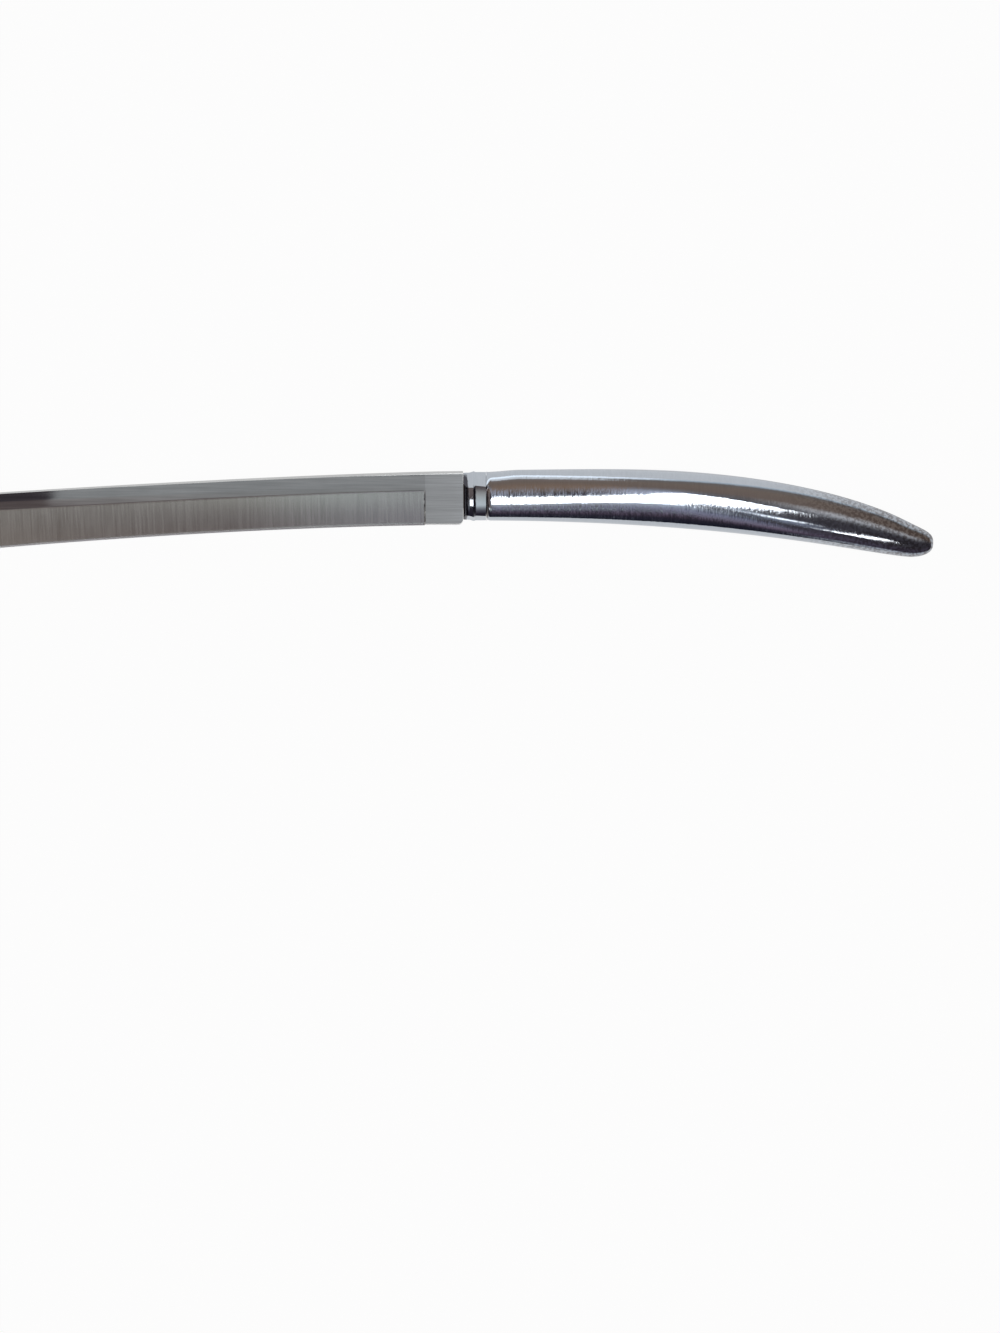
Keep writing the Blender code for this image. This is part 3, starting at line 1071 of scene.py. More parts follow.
def slot_rows(width: np.ndarray, thickness: np.ndarray, count: int,
              power: float) -> tuple[np.ndarray, np.ndarray]:
    """Y and Z of half of a slot with rounded corners, from one side over the face to the other.

    Each is a half size times a root of the cosine or sine of an angle from 0 to half a turn, with its sign.

    Args:
        width: Half widths, in a column.
        thickness: Half thicknesses, in a column.
        count: Points of a half section.
        power: Power of the slot's curve, 2 for an ellipse and more for a squarer one.

    Returns:
        Y and Z, each stations by points.
    """
    turn = np.linspace(0, math.pi, count)[None]
    c, s = np.cos(turn), np.maximum(np.sin(turn), 0.0)
    return width * np.sign(c) * np.abs(c) ** (2 / power), thickness * s ** (2 / power)


@dataclass(frozen=True)
class HandleForm:
    """The handle's drooping axis and its oval sections, from the mouth behind the collar to the butt.

    Attributes:
        length: Shoulder to the butt's end.
        drop: How far the axis would fall up to there.
        bend: Power of that fall.
        level_at: Where the axis starts to level off.
        mouth_at: Where the handle starts.
        mouth: Section at the mouth.
        front_round: Length of the mouth's rounding.
        front: Section that the body would have at the mouth without that rounding.
        swell_at: Where the handle is thickest.
        swell: Section there.
        butt_power: Power that shapes the start of the butt's curve.
        butt_close: Power that shapes its end.
        front_lean: How much fuller the front is on the edge's side.
        front_lean_run: Stretch behind the mouth over which that fades.
        butt_lean: How much fuller the butt is on the edge's side.
        butt_lean_at: Where that sets in.
        butt_lean_run: Stretch over which it grows.
        nip: How much the front is narrowed on the spine's side.
        nip_run: Stretch behind the mouth over which that fades.
    """

    length: float = 0.1237
    drop: float = 0.0144
    bend: float = 3.12
    level_at: float = 0.1165
    mouth_at: float = 0.0061
    mouth: Oval = Oval(0.0134, 0.0088)
    front_round: float = 0.0010
    front: Oval = Oval(0.0134, 0.0106)
    swell_at: float = 0.063
    swell: Oval = Oval(0.01515, 0.0128)
    butt_power: float = 2.3
    butt_close: float = 0.34
    front_lean: float = 0.20
    front_lean_run: float = 0.046
    butt_lean: float = 0.24
    butt_lean_at: float = 0.050
    butt_lean_run: float = 0.040
    nip: float = 0.08
    nip_run: float = 0.009

    def across(self, x: np.ndarray, turn: np.ndarray) -> np.ndarray:
        """The angle's cosine, less a square of it on the spine's side where the front narrows."""
        nip = self.nip * fading(x - self.mouth_at, 0.0, self.nip_run)
        return np.cos(turn) - nip * np.maximum(np.cos(turn), 0.0) ** 2

    def fullness(self, x: np.ndarray, turn: np.ndarray) -> np.ndarray:
        """How much the section is thickened at an angle.

        The sections are egg-shaped, fuller on the edge's side, at the front and again towards the butt.

        Args:
            x: Stations from the shoulder, in a column.
            turn: Angles round the section, from the spine's side.

        Returns:
            Factors of the thickness: 1 less the lean times the angle's cosine.
        """
        front = self.front_lean * (1 - smoothstep((x - self.mouth_at) / self.front_lean_run))
        butt = self.butt_lean * smoothstep((x - self.butt_lean_at) / self.butt_lean_run)
        return 1 - (front + butt) * np.cos(turn)

    def axis(self, x: np.ndarray) -> np.ndarray:
        """Height of the axis: a fall that grows as a power of x and levels off, as a square, in the butt.

        Args:
            x: Stations from the shoulder.

        Returns:
            Heights over the shoulder's middle, in the shape of x.
        """
        share = np.clip(x, 0.0, self.level_at) / self.length
        slope = self.drop * self.bend / self.length * (self.level_at / self.length) ** (self.bend - 1)
        past = np.maximum(x - self.level_at, 0.0)
        return -self.drop * share**self.bend - slope * (past - past**2 / (2 * (self.length - self.level_at)))

    def half(self, x: np.ndarray, mouth: float, front: float, swell: float, inset: float) -> np.ndarray:
        """Half of the width or thickness at x, for a skin that lies inset under the outside.

        A quarter round opens from the mouth, a smooth step rises to the swell, and the butt closes as a power
        of 1 less a power of the distance past the swell.

        Args:
            x: Stations from the shoulder.
            mouth: Width or thickness at the mouth.
            front: The same for the body there, without the mouth's rounding.
            swell: The same at the thickest place.
            inset: Depth under the outside.

        Returns:
            Half sizes, in the shape of x.
        """
        end = self.length - inset
        run = np.clip((x - self.swell_at) / (end - self.swell_at), 0.0, 1.0)
        butt = (swell / 2 - inset) * (1 - run**self.butt_power) ** self.butt_close
        rise = smoothstep((x - self.mouth_at) / (self.swell_at - self.mouth_at))
        body = lerp(front, swell, rise) / 2
        opening = quarter_round((x - self.mouth_at) / self.front_round)
        return np.where(x > self.swell_at, butt, lerp(mouth / 2, body, opening) - inset)

    def halves(self, x: np.ndarray, inset: float = 0.0) -> tuple[np.ndarray, np.ndarray]:
        """Half width and half thickness at x, for a skin that lies inset under the outside."""
        return (self.half(x, self.mouth.width, self.front.width, self.swell.width, inset),
                self.half(x, self.mouth.thickness, self.front.thickness, self.swell.thickness, inset))


@dataclass(frozen=True)
class JointPaintedShade:
    """How far the painted shade at the handle's joints spreads across the knife.

    Attributes:
        top: Where it starts to fade and where it ends, towards the spine's side.
        foot: The same towards the edge's side.
    """

    top: tuple[float, float] = (0.0028, 0.0042)
    foot: tuple[float, float] = (0.0046, 0.0054)

    def across(self, y: np.ndarray) -> np.ndarray:
        """Painted shade from 0 to 1 at heights y over the shoulder's middle."""
        return fading(y, *self.top) * fading(-y, *self.foot)


@dataclass
class HandleShell:
    """One pressed half of the hollow handle, with a rounded rim along the seam.

    Attributes:
        side: Which half it is.
        form: The handle's outline.
        wall: Thickness of the pressed metal.
        seam: Width of the hairline between the halves.
        rim: Radius of the rim's outer corner.
        rim_points: Points round that corner.
        morph: Stretch behind the mouth over which the neck's section becomes the oval.
        shade_and_tone: Where the painted shade at the joint starts to fade and where it ends, from the mouth.
        joint: How far that painted shade spreads across the knife.
        wear_and_shade: Darkening of the butt's end, partly wear and partly painted shade.
        wear_and_shade_from: Where that darkening starts, from the shoulder.
        around: Points of a half section.
        opening_stations: Rings in the mouth's rounding.
        body_stations: Rings from there to the swell.
        butt_stations: Rings from the swell to the butt's end.
    """

    side: ShellSide
    form: HandleForm
    wall: float = 0.0008
    seam: float = 0.00006
    rim: float = 0.00010
    rim_points: int = 5
    morph: float = 0.0014
    shade_and_tone: tuple[float, float] = (0.0003, 0.0009)
    joint: JointPaintedShade = JointPaintedShade()
    wear_and_shade: float = 0.5
    wear_and_shade_from: float = 0.076
    around: int = 97
    opening_stations: int = 20
    body_stations: int = 60
    butt_stations: int = 60

    def stations(self, inset: float) -> np.ndarray:
        """Stations along the skin, crowded in the mouth's rounding and towards the butt.

        Args:
            inset: Depth of the skin under the outside.

        Returns:
            X of every station, of equal count for each inset.
        """
        form = self.form
        end = form.length - inset
        front = form.mouth_at + max(form.front_round, self.morph)
        opening = start_crowded(form.mouth_at, front, self.opening_stations)
        body = np.linspace(front, form.swell_at, self.body_stations)
        left = np.linspace(1, 0, self.butt_stations)
        return np.concatenate([opening, body[1:], end - (end - form.swell_at) * left[1:] ** 2])

    def skin(self, inset: float) -> np.ndarray:
        """Half-section rows of the outside, or of a skin inset under it.

        Each row goes by a quarter round from the neck's section at the mouth to an oval, the half sizes times
        the cosine and sine of angles from 0 to half a turn, and is lifted by half of the seam.

        Args:
            inset: Depth under the outside.

        Returns:
            Points, stations by angles by 3, from the spine's side to the edge's side.
        """
        x = self.stations(inset)[:, None]
        width, thickness = self.form.halves(x, inset)
        turn = np.linspace(0, math.pi, self.around)[None]
        share = quarter_round((x - self.form.mouth_at) / self.morph)
        neck_y, neck_z = NeckSection().rows(width, thickness, self.around)
        lift = np.minimum(self.seam / 2, thickness / 4)
        y = self.form.axis(x) + lerp(neck_y, width * self.form.across(x, turn), share)
        rise = lerp(neck_z, thickness * np.sin(turn) * self.form.fullness(x, turn), share)
        z = lift + rise * (1 - lift / np.maximum(thickness, MERGE_DISTANCE))
        return np.stack(np.broadcast_arrays(x, y, z), axis=-1)

    def rings(self) -> np.ndarray:
        """Rings round the metal itself: along the outside, over the rim, back along the inside.

        Returns:
            Points, stations by points by 3, closed at the mouth by a first ring in the middle of the wall.
        """
        outer, inner = self.skin(0.0), self.skin(self.wall)
        across = np.array([0.0, 1.0, 0.0])
        up = np.array([0.0, 0.0, 1.0])
        wall = (outer - inner)[:, :1, 1:2]
        radius = np.minimum(self.rim, wall / 3)
        turn = np.linspace(0, math.pi / 2, self.rim_points)[None, :, None]
        corner = up * radius * (1 - np.sin(turn)), across * radius * (1 - np.cos(turn))
        spine_corner = outer[:, :1] + corner[0] - corner[1]
        edge_corner = outer[:, -1:] + corner[0] + corner[1]
        clear = (1 - np.sin(np.linspace(0, math.pi, self.around)))[None, :, None]
        skin = outer + up * radius * clear
        rings = np.concatenate([skin, edge_corner[:, 1:], inner[:, ::-1], spine_corner[:, :0:-1]], axis=1)
        return self.closed_mouth(rings, outer, inner)

    def closed_mouth(self, rings: np.ndarray, outer: np.ndarray, inner: np.ndarray) -> np.ndarray:
        """The rings with the mouth's edge closed by a first ring in the middle of the wall.

        Args:
            rings: Rings round the metal.
            outer: Rows of the outside.
            inner: Rows of the inside.

        Returns:
            The rings, one more than before.
        """
        extra = rings.shape[1] - 2 * self.around
        middle = (outer[:1] + inner[:1]) / 2
        at_seam = extra // 2
        first = np.concatenate([middle, np.repeat(middle[:, -1:], at_seam, 1), middle[:, ::-1],
                                np.repeat(middle[:, :1], extra - at_seam, 1)], axis=1)
        return np.concatenate([first, rings])

    def build(self, place: KnifeFrame, finish: bpy.types.Material) -> bpy.types.Object:
        """Builds and dresses the half.

        Args:
            place: Where the knife lies.
            finish: The handle's metal.

        Returns:
            The half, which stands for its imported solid.
        """
        rings = self.rings() * np.array([1.0, 1.0, float(self.side.value)])
        # Painted shade at the joint behind the mouth, and wear with painted shade growing towards the butt's
        # end.
        behind = fading(rings[..., 0] - self.form.mouth_at, *self.shade_and_tone)
        butt = smoothstep((rings[..., 0] - self.wear_and_shade_from) / (self.form.length - self.wear_and_shade_from))
        shade_and_tone_mask = behind * self.joint.across(rings[..., 1]) + self.wear_and_shade * butt
        skin = RingSurface(f"pressed_{self.side.node}", place.place(rings), [finish], shade_and_tone_mask=shade_and_tone_mask)
        piece = skin.build()
        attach(piece, BODY)
        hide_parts(self.side.node)
        return piece


@dataclass
class NeckCollar:
    """Beaded and coved collar between blade and handle, slotted for the tang, with a spigot for the shells.

    Attributes:
        form: The handle's outline, whose mouth the collar runs into.
        tang: The tang that passes through the slot.
        front: Where the front rim lies, from the shoulder.
        end: Where the outside ends, just before the handle's mouth.
        lip: Section at the front rim.
        bead_at: Where the bead's rounding ends.
        bead_end: Where the bead is thickest and ends.
        bead: Section there.
        bead_slope: How far the bead still rises from its rounding to its end.
        cove_at: Where the cove starts.
        cove: Section there.
        cove_slope: Rise of the cove's face towards the handle, by its length.
        spigot_length: How far the spigot reaches behind the outside.
        spigot_inset: How far it lies under the handle's mouth.
        spigot_power: Power of the spigot's curve.
        slot_gap: Clearance between the tang and the slot.
        slot_power: Power of the slot's curve.
        painted_shade_reach: How far the painted shade against the blade reaches, at the sides and on the
            faces.
        painted_shade_fade: Stretch over which painted shade fades along the knife.
        crescent_top: Where the painted shade against the blade starts to fade and where it ends, towards the
            spine.
        valley: Half of the width of the painted shade behind the bead.
        joint: How far that painted shade spreads across the knife.
        around: Points round a ring.
        round_stations: Rings in the bead's rounding.
        slope_stations: Rings from there to the bead's end.
        step_stations: Rings in the step down to the cove.
        cove_stations: Rings along the cove.
    """

    form: HandleForm
    tang: Tang
    front: float = 0.00008
    end: float = 0.00602
    lip: Oval = Oval(0.0127, 0.0042)
    bead_at: float = 0.0017
    bead_end: float = 0.0028
    bead: Oval = Oval(0.0136, 0.0096)
    bead_slope: float = 0.00036
    cove_at: float = 0.0033
    cove: Oval = Oval(0.0132, 0.0080)
    cove_slope: float = 0.115
    spigot_length: float = 0.0050
    spigot_inset: float = 0.0014
    spigot_power: float = 2.0
    slot_gap: float = 0.00012
    slot_power: float = 14.0
    painted_shade_reach: tuple[float, float] = (0.0007, 0.0015)
    painted_shade_fade: float = 0.00025
    crescent_top: tuple[float, float] = (0.0052, 0.0060)
    valley: float = 0.0002
    joint: JointPaintedShade = JointPaintedShade()
    around: int = 144
    round_stations: int = 22
    slope_stations: int = 8
    step_stations: int = 10
    cove_stations: int = 18

    def half(self, x: np.ndarray, lip: float, bead: float, cove: float, slope: float) -> np.ndarray:
        """Half of the width or thickness: a quarter round to the bead, its slope, a step down and the cove.

        Args:
            x: Stations from the shoulder.
            lip: Width or thickness of the front rim.
            bead: The same at the bead's crest.
            cove: The same at the cove's front.
            slope: Rise of the cove towards the handle.

        Returns:
            Half sizes, in the shape of x.
        """
        toe = bead - 2 * self.bead_slope
        up = lerp(lip, toe, quarter_round((x - self.front) / (self.bead_at - self.front)))
        crest = lerp(toe, bead, (x - self.bead_at) / (self.bead_end - self.bead_at))
        down = lerp(bead, cove, smoothstep((x - self.bead_end) / (self.cove_at - self.bead_end)))
        front = np.where(x < self.bead_at, up, crest)
        return np.where(x < self.bead_end, front, down) / 2 + slope * np.maximum(x - self.cove_at, 0.0)

    def stations(self) -> np.ndarray:
        """Stations from the front rim over the bead and the cove to the mouth.

        Returns:
            X of every station, in rising order.
        """
        up = start_crowded(self.front, self.bead_at, self.round_stations)
        slope = np.linspace(self.bead_at, self.bead_end, self.slope_stations)
        down = np.linspace(self.bead_end, self.cove_at, self.step_stations)
        cove = np.linspace(self.cove_at, self.end, self.cove_stations)
        return np.unique(np.concatenate([up, slope, down, cove]))

    def rings(self) -> np.ndarray:
        """Rings out of the slot, over the outside, down to the spigot and back through the slot.

        Returns:
            Points, stations by points by 3; the last ring is the first again.
        """
        x = self.stations()[:, None]
        count, flat = self.around // 2, np.ones((2, 1))
        mouth = self.form.mouth
        width = self.half(x, self.lip.width, self.bead.width, self.cove.width, 0.0)
        thick = self.half(x, self.lip.thickness, self.bead.thickness, self.cove.thickness, self.cove_slope)
        outside = NeckSection().rows(width, thick, count)
        spigot_x = np.array([[self.end], [self.end + self.spigot_length]])
        spigot = slot_rows(flat * (mouth.width / 2 - self.spigot_inset),
                           flat * (mouth.thickness / 2 - self.spigot_inset), count, self.spigot_power)
        slot_x = np.array([[self.front], [self.end + self.spigot_length]])
        slot = slot_rows(self.tang.half_width(slot_x) + self.slot_gap,
                         flat * (self.tang.thickness / 2 + self.slot_gap), count, self.slot_power)
        along = np.concatenate([slot_x[:1], x, spigot_x, slot_x[::-1]])
        y, z = (np.concatenate([hole[:1], skin, plug, hole[::-1]])
                for hole, skin, plug in zip(slot, outside, spigot))
        y, z = np.concatenate([y, y[:, ::-1]], axis=1), np.concatenate([z, -z[:, ::-1]], axis=1)
        return np.stack(np.broadcast_arrays(along, self.form.axis(along) + y, z), axis=-1)

    def shade_and_tone(self, rings: np.ndarray) -> np.ndarray:
        """Painted shade on the spigot, behind the bead and in the corner against the blade.

        The last is a crescent, widest on the faces.

        Args:
            rings: The collar's rings, in the knife's own frame.

        Returns:
            Painted shade from 0 to 1, stations by points.
        """
        side = np.clip(rings[..., 1] / (self.bead.width / 2), -1.0, 1.0)
        reach = lerp(*self.painted_shade_reach, 1 - side**2)
        behind = np.abs(rings[..., 0] - (self.bead_end + self.cove_at) / 2) - self.valley
        valley = fading(behind, 0.0, self.painted_shade_fade) * self.joint.across(rings[..., 1])
        top = fading(rings[..., 1], *self.crescent_top)
        crescent = fading(rings[..., 0] - reach, 0.0, self.painted_shade_fade) * top
        shade = np.maximum(crescent, valley)
        # The spigot and the slot, inside the handle, are painted in full shade.
        shade[len(self.stations()) + 1 :] = 1.0
        return shade

    def build(self, place: KnifeFrame, finish: bpy.types.Material) -> bpy.types.Object:
        """Builds and dresses the collar.

        Args:
            place: Where the knife lies.
            finish: The handle's metal.

        Returns:
            The collar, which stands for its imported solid.
        """
        rings = self.rings()
        shade_and_tone_mask = self.shade_and_tone(rings)
        piece = RingSurface("beaded_neck_collar", place.place(rings), [finish], shade_and_tone_mask=shade_and_tone_mask).build()
        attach(piece, BODY)
        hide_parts("neck_collar")
        return piece


@dataclass
class CementCore:
    """The cement inside the handle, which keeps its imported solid.

    Attributes:
        node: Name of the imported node.
    """

    node: str = "cement_core"

    def dress(self, nodes: dict[str, bpy.types.Object]) -> bpy.types.Object:
        """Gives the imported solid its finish.

        Args:
            nodes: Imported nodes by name.

        Returns:
            The node's object.
        """
        piece = nodes[self.node]
        finish = HANDLE_CEMENT.build()
        for slot in piece.material_slots:
            slot.material = finish
        return piece


# Studio


@dataclass(frozen=True)
class Panel:
    """A flat lamp far off, placed and sized by angles seen from the knife.

    Attributes:
        name: Lamp's name.
        along: Angle of its middle from straight above, towards +X, in degrees.
        across: The same towards +Y.
        size: Its width and length, in degrees.
        turn: Turn of its length from X towards Y, in degrees.
        brightness: Its radiance, where 1 shows as white.
        shape: Blender's name for its outline.
        distance: How far off it stands.
    """

    name: str
    along: float
    across: float
    size: tuple[float, float]
    turn: float
    brightness: float
    shape: str = "RECTANGLE"
    distance: float = 8.0

    def build(self, target: Vector) -> bpy.types.Object:
        """Builds the lamp.

        Args:
            target: The point that it faces.

        Returns:
            The lamp's object.
        """
        a, b = math.radians(self.along), math.radians(self.across)
        toward = Vector((math.sin(a), math.cos(a) * math.sin(b), math.cos(a) * math.cos(b)))
        data = bpy.data.lights.new(self.name, "AREA")
        data.shape = self.shape
        data.size, data.size_y = (2 * self.distance * math.tan(math.radians(d) / 2) for d in self.size[::-1])
        data.energy = self.brightness * data.size * data.size_y * math.pi
        if self.shape == "ELLIPSE":
            data.energy *= math.pi / 4
        lamp = bpy.data.objects.new(self.name, data)
        length = Vector((math.cos(math.radians(self.turn)), math.sin(math.radians(self.turn)), 0.0))
        length = (length - toward * length.dot(toward)).normalized()
        axes = Matrix((length, toward.cross(length), toward)).transposed()
        lamp.location = target + toward * self.distance
        lamp.rotation_euler = axes.to_euler()
        bpy.context.scene.collection.objects.link(lamp)
        return lamp


@dataclass(frozen=True)
class RoomTone:
    """A tone of the room round the knife.

    Attributes:
        angle: Angle from straight above towards the spine's side, in degrees.
        colour: The light from there, dark unless given.
    """

    angle: float
    colour: Colour = (0.0, 0.0, 0.0)


@dataclass(frozen=True)
class RoomGlow:
    """A lit part of the room.

    Attributes:
        name: What it is called in the node tree.
        left: Where it starts at the left, dark and then full, as the X part of the direction.
        right: The same at the right.
        tones: Its tones by the angle across the knife.
    """

    name: str
    left: tuple[float, float]
    right: tuple[float, float]
    tones: tuple[RoomTone, ...]


@dataclass
class Studio:
    """Floor, room, lamps and camera.

    Attributes:
        place: Where the knife lies.
        floor_reach: Half of the floor's width.
        floor_pale: The paper's colour.
        floor_dark: Its colour in the grain.
        floor_grain: Grains of the paper per metre.
        floor_glow: Share of even white in what the camera sees of the floor.
        floor_gloss: Share of even white in what the metal mirrors of it.
        walls: The room's tones by the angle across the knife.
        glows: Lit parts of the room, which add to the walls.
        panels: Lamps.
        lamps_at: Point of the knife that the lamps face, from the shoulder.
        lens: The camera's lens, in millimetres.
        sensor: Height of its sensor, in millimetres.
        image: Width and height of its picture, in pixels.
        shoulder_pixel: Where the shoulder shows in the picture.
        pixel: Length on the knife that a pixel shows.
        tilt: The camera's lean from straight above, in radians.
        distance: From the camera to the point that it aims at.
    """

    place: KnifeFrame
    floor_reach: float = 12.0
    floor_pale: Colour = (0.93, 0.93, 0.935)
    floor_dark: Colour = (0.90, 0.90, 0.905)
    floor_grain: float = 900.0
    floor_glow: float = 0.96
    floor_gloss: float = 0.66
    walls: tuple[RoomTone, ...] = (
        RoomTone(-90, (0.012, 0.014, 0.026)),
        RoomTone(-76, (0.018, 0.017, 0.028)),
        RoomTone(-60, (0.028, 0.023, 0.034)),
        RoomTone(-45, (0.035, 0.030, 0.040)),
        RoomTone(-20, (0.055, 0.047, 0.055)),
        RoomTone(0, (0.055, 0.048, 0.058)),
        RoomTone(20, (0.070, 0.062, 0.072)),
        RoomTone(32, (0.150, 0.140, 0.145)),
        RoomTone(46, (0.225, 0.168, 0.140)),
        RoomTone(64, (0.240, 0.180, 0.145)),
        RoomTone(78, (0.210, 0.180, 0.165)),
        RoomTone(83, (0.450, 0.490, 0.530)),
        RoomTone(89, (0.700, 0.750, 0.800)),
    )
    glows: tuple[RoomGlow, ...] = (
        RoomGlow("bevel_light", (-0.36, -0.26), (-0.030, -0.050), (
            RoomTone(-56),
            RoomTone(-50, (0.050, 0.050, 0.060)),
            RoomTone(-43, (0.140, 0.140, 0.150)),
            RoomTone(-36, (0.250, 0.250, 0.260)),
            RoomTone(-31, (0.215, 0.215, 0.220)),
            RoomTone(-26, (0.140, 0.135, 0.135)),
            RoomTone(-22, (0.115, 0.092, 0.082)),
            RoomTone(-19, (0.065, 0.048, 0.042)),
            RoomTone(-17.8),
        )),
        RoomGlow("heel_light", (-0.10, -0.07), (-0.032, -0.050), (
            RoomTone(-44),
            RoomTone(-38, (0.640, 0.780, 0.730)),
            RoomTone(-34, (0.700, 0.850, 0.800)),
            RoomTone(-28, (0.140, 0.165, 0.150)),
            RoomTone(-23, (0.010, 0.012, 0.012)),
            RoomTone(-19.5),
        )),
        RoomGlow("front_light", (-0.034, -0.018), (0.040, 0.010), (
            RoomTone(-46),
            RoomTone(-36, (0.045, 0.045, 0.060)),
            RoomTone(-27, (0.190, 0.180, 0.215)),
            RoomTone(-23, (0.300, 0.290, 0.325)),
            RoomTone(-20.5, (0.310, 0.305, 0.330)),
            RoomTone(-18.5, (0.150, 0.150, 0.160)),
            RoomTone(-17, (0.100, 0.100, 0.105)),
            RoomTone(-13, (0.100, 0.100, 0.105)),
            RoomTone(-8),
        )),
        RoomGlow("neck_light", (-0.31, -0.27), (-0.165, -0.20), (
            RoomTone(-47),
            RoomTone(-40, (0.180, 0.205, 0.200)),
            RoomTone(-35, (0.460, 0.510, 0.495)),
            RoomTone(-30, (0.440, 0.490, 0.475)),
            RoomTone(-24, (0.350, 0.390, 0.375)),
            RoomTone(-20, (0.200, 0.225, 0.215)),
            RoomTone(-18),
        )),
        RoomGlow("brown_end", (-0.99, -0.90), (-0.16, -0.30), (
            RoomTone(-42),
            RoomTone(-18, (0.160, 0.120, 0.100)),
            RoomTone(40, (0.160, 0.120, 0.100)),
            RoomTone(75),
        )),
        RoomGlow("blade_light", (-0.1490, -0.1470), (0.10, 0.03), (
            RoomTone(-22.5),
            RoomTone(-20.5, (0.080, 0.080, 0.080)),
            RoomTone(-18, (0.290, 0.303, 0.303)),
            RoomTone(-11, (0.400, 0.420, 0.440)),
            RoomTone(-4, (0.520, 0.540, 0.560)),
            RoomTone(3, (0.380, 0.390, 0.400)),
            RoomTone(10),
        )),
        RoomGlow("ceiling_blue", (-0.035, 0.000), (0.20, 0.09), (
            RoomTone(-3),
            RoomTone(4, (0.450, 0.480, 0.520)),
            RoomTone(12, (0.580, 0.610, 0.690)),
            RoomTone(24, (0.500, 0.530, 0.640)),
            RoomTone(31, (0.320, 0.345, 0.440)),
            RoomTone(38, (0.100, 0.110, 0.130)),
            RoomTone(46),
        )),
        RoomGlow("low_blue", (-0.014, 0.006), (0.09, 0.03), (
            RoomTone(-66),
            RoomTone(-54, (0.100, 0.065, 0.090)),
            RoomTone(-44, (0.180, 0.145, 0.190)),
            RoomTone(-34, (0.165, 0.160, 0.215)),
            RoomTone(-26, (0.185, 0.200, 0.280)),
            RoomTone(-20, (0.125, 0.145, 0.225)),
            RoomTone(-13, (0.205, 0.245, 0.340)),
            RoomTone(-8, (0.280, 0.320, 0.390)),
            RoomTone(-2),
        )),
        RoomGlow("middle_blue", (0.112, 0.130), (0.215, 0.190), (
            RoomTone(-27),
            RoomTone(-18, (0.090, 0.095, 0.120)),
            RoomTone(-12, (0.190, 0.210, 0.270)),
            RoomTone(-6, (0.290, 0.330, 0.400)),
            RoomTone(0, (0.340, 0.380, 0.440)),
            RoomTone(5),
        )),
        RoomGlow("lower_haze", (-0.020, 0.030), (1.2, 1.1), (
            RoomTone(-82),
            RoomTone(-72, (0.025, 0.020, 0.030)),
            RoomTone(-60, (0.045, 0.036, 0.050)),
            RoomTone(-45, (0.050, 0.040, 0.055)),
            RoomTone(-28, (0.020, 0.016, 0.022)),
            RoomTone(-20),
        )),
        RoomGlow("butt_light", (0.26, 0.34), (0.76, 0.66), (
            RoomTone(23),
            RoomTone(29, (0.160, 0.160, 0.165)),
            RoomTone(36, (0.460, 0.460, 0.470)),
            RoomTone(41, (0.300, 0.300, 0.300)),
            RoomTone(46),
        )),
        RoomGlow("edge_side_floor", (0.01, 0.07), (0.80, 0.60), (
            RoomTone(-90, (0.700, 0.720, 0.750)),
            RoomTone(-80, (0.660, 0.680, 0.710)),
            RoomTone(-76, (0.560, 0.580, 0.610)),
            RoomTone(-72, (0.340, 0.355, 0.380)),
            RoomTone(-68, (0.120, 0.125, 0.135)),
            RoomTone(-64),
        )),
        RoomGlow("spine_side_wall", (-0.9, -0.5), (0.02, -0.015), (
            RoomTone(18),
            RoomTone(28, (0.075, 0.035, 0.0)),
            RoomTone(38, (0.110, 0.045, 0.0)),
            RoomTone(48, (0.040, 0.016, 0.0)),
            RoomTone(58),
            RoomTone(67, (0.030, 0.035, 0.045)),
            RoomTone(72, (0.680, 0.720, 0.760)),
            RoomTone(78, (0.760, 0.800, 0.840)),
            RoomTone(84, (0.250, 0.270, 0.290)),
            RoomTone(90),
        )),
        RoomGlow("spine_side_floor", (-0.9, -0.5), (0.16, 0.0), (
            RoomTone(78),
            RoomTone(82, (0.650, 0.670, 0.690)),
            RoomTone(89, (0.750, 0.770, 0.790)),
        )),
    )
    panels: tuple[Panel, ...] = (
        Panel("overhead_panel", 5.1, 13.8, (9.5, 32.5), 66.0, 5.0),
        Panel("window_panel", 0.0, -5.5, (5.0, 12.0), 75.0, 5.0),
        Panel("spot_panel", 10.2, -2.0, (2.0, 5.0), 76.0, 3.0),
        Panel("end_panel", 18.3, -11.5, (2.2, 19.0), 53.5, 9.0),
        Panel("side_panel", -34.0, -37.0, (10.0, 8.0), 0.0, 2.5, "ELLIPSE"),
    )
    lamps_at: float = 0.05
    lens: float = 85.0
    sensor: float = 36.0
    image: tuple[float, float] = (1000.0, 1333.0)
    shoulder_pixel: tuple[float, float] = (463.5, 497.3)
    pixel: float = 0.0002654
    tilt: float = math.radians(20)
    distance: float = 0.8405

    def aim(self) -> Vector:
        """Finds what the picture's middle shows from where the shoulder lies in it.

        Returns:
            A point on the knife's mid-plane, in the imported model's frame.
        """
        across = (self.image[0] / 2 - self.shoulder_pixel[0]) * self.pixel
        along = (self.shoulder_pixel[1] - self.image[1] / 2) * self.pixel / math.cos(self.tilt)
        return Vector(self.place.place(np.array([across, along, 0.0])))

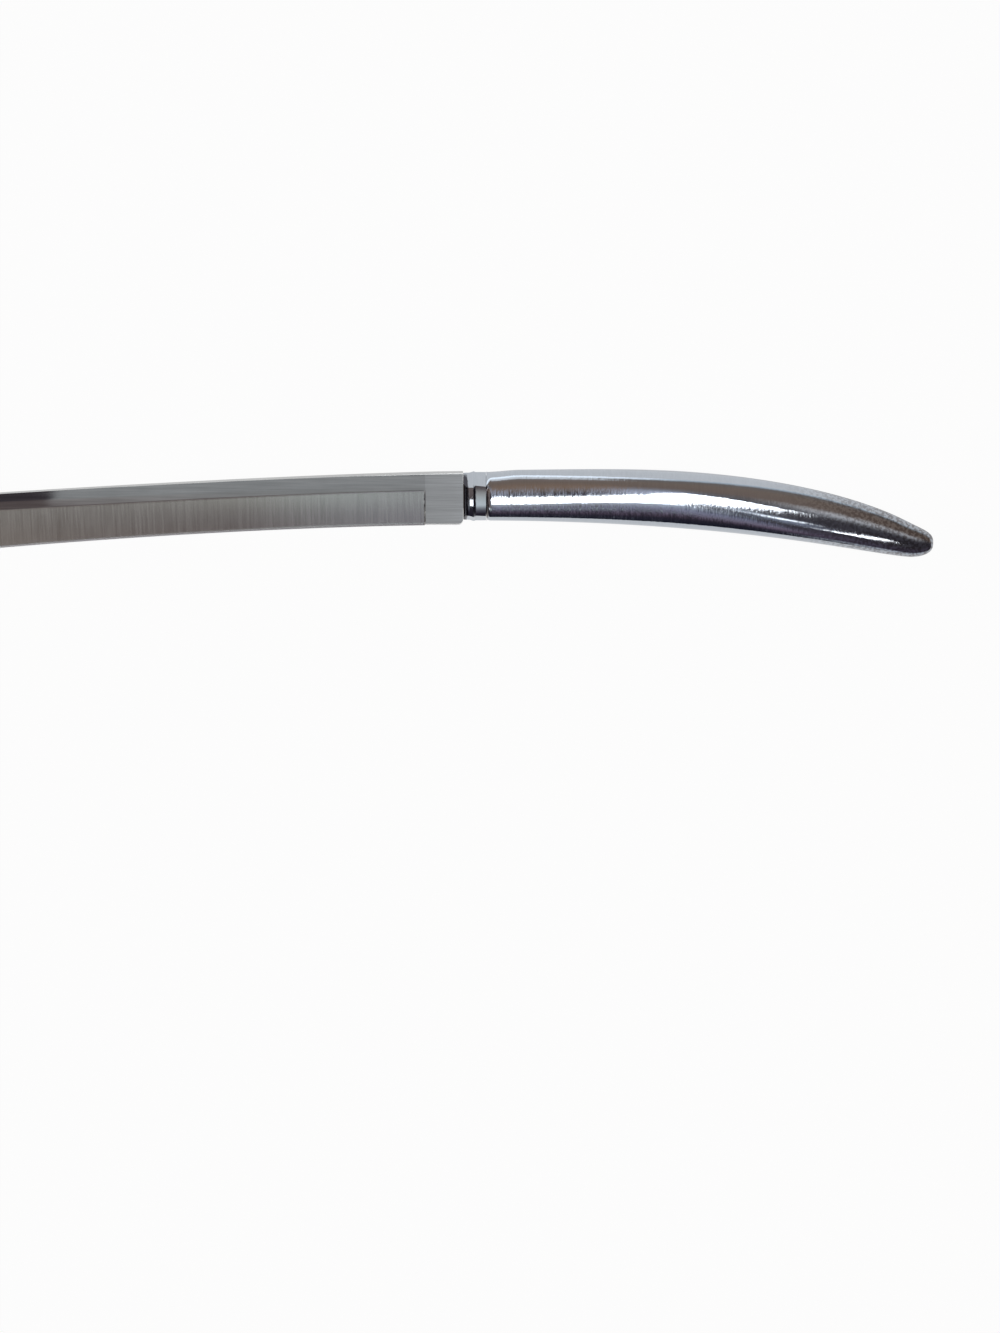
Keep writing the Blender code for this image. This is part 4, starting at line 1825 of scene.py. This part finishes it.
    def build_camera(self) -> None:
        """A long lens above the knife, leaning towards its spine by the tilt."""
        data = bpy.data.cameras.new("camera")
        data.lens = self.lens
        data.sensor_fit = "VERTICAL"
        data.sensor_height = self.sensor
        camera = bpy.data.objects.new("camera", data)
        lean = Vector((0.0, math.sin(self.tilt), math.cos(self.tilt)))
        camera.location = self.aim() + lean * self.distance
        camera.rotation_euler = (-self.tilt, 0.0, 0.0)
        bpy.context.scene.collection.objects.link(camera)
        bpy.context.scene.camera = camera

    def build_floor(self) -> None:
        """A wide pale floor under the knife, white to the camera and in the metal but for its soft shadow."""
        corners = self.floor_reach * np.array([[-1, -1, 0], [1, -1, 0], [1, 1, 0], [-1, 1, 0]])
        mesh = bpy.data.meshes.new("floor")
        mesh.from_pydata(corners, [], [(0, 1, 2, 3)])
        material, graph = Graph.of_material("floor_paper")
        paper = graph.add("ShaderNodeBsdfDiffuse")
        grain = graph.spread(graph.noise((self.floor_grain,) * 3, detail=4.0), 0.0, 1.0)
        graph.join(graph.blend(grain, self.floor_dark, self.floor_pale), paper.inputs["Color"])
        glow = graph.add("ShaderNodeEmission", {"Color": (1.0, 1.0, 1.0, 1.0), "Strength": 1.0})
        ray = graph.add("ShaderNodeLightPath").outputs
        mirrored = graph.math("ADD", ray["Is Glossy Ray"], ray["Is Transmission Ray"], clamp=True)
        share = graph.math("ADD", graph.math("MULTIPLY", ray["Is Camera Ray"], self.floor_glow),
                           graph.math("MULTIPLY", mirrored, self.floor_gloss), clamp=True)
        mix = graph.add("ShaderNodeMixShader")
        graph.join(share, mix.inputs[0])
        graph.join(paper.outputs["BSDF"], mix.inputs[1])
        graph.join(glow.outputs["Emission"], mix.inputs[2])
        output = graph.add("ShaderNodeOutputMaterial")
        graph.join(mix.outputs["Shader"], output.inputs["Surface"])
        mesh.materials.append(material)
        floor = bpy.data.objects.new("floor", mesh)
        bpy.context.scene.collection.objects.link(floor)

    def build_room(self) -> None:
        """A room whose walls change tone with the angle across the knife, with lit parts added."""
        world = bpy.data.worlds.new("room")
        world.use_nodes = True
        bpy.context.scene.world = world
        graph = Graph(world.node_tree)
        where = graph.add("ShaderNodeTexCoord")
        parts = graph.add("ShaderNodeSeparateXYZ")
        graph.join(where.outputs["Generated"], parts.inputs["Vector"])
        angle = graph.math("ARCTAN2", parts.outputs["Y"], parts.outputs["Z"])
        share = graph.math("MULTIPLY_ADD", angle, 1 / math.pi)
        share.node.inputs[2].default_value = 0.5
        walls = graph.add("ShaderNodeBackground")
        graph.join(graph.tones(share, self.walls), walls.inputs["Color"])
        light = walls.outputs["Background"]
        for glow in self.glows:
            lit = graph.add("ShaderNodeBackground", label=glow.name)
            ends = [graph.step(parts.outputs["X"], *end) for end in (glow.left, glow.right)]
            graph.join(graph.tones(share, glow.tones), lit.inputs["Color"])
            graph.join(graph.math("MULTIPLY", *ends), lit.inputs["Strength"])
            both = graph.add("ShaderNodeAddShader")
            graph.join(light, both.inputs[0])
            graph.join(lit.outputs["Background"], both.inputs[1])
            light = both.outputs["Shader"]
        output = graph.add("ShaderNodeOutputWorld")
        graph.join(light, output.inputs["Surface"])

    def build(self) -> None:
        """Builds the floor, the room, the lamps and the camera."""
        bpy.context.scene.view_settings.view_transform = "Standard"
        self.build_floor()
        self.build_room()
        middle = Vector(self.place.place(np.array([self.lamps_at, 0.0, 0.0])))
        for panel in self.panels:
            panel.build(middle)
        self.build_camera()


def main() -> None:
    """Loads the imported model, dresses the knife piece by piece and sets it in the studio."""
    logging.basicConfig(level=logging.INFO, format="%(name)s: %(message)s")
    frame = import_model()
    form = HandleForm()
    blade = Blade(form)
    place = KnifeFrame.from_packed(blade.length, blade.spine_rise)
    chrome = MIRROR_CHROME.build()
    pieces = [
        blade.build(place),
        NeckCollar(form, blade.tang).build(place, NECK_CHROME.build()),
        *[HandleShell(side, form).build(place, chrome) for side in ShellSide],
        CementCore().dress(frame["nodes"]),
    ]
    for piece in pieces:
        log.info("%s: %d faces", piece.name, len(piece.data.polygons))
    Studio(place).build()


if __name__ == "__main__":
    main()
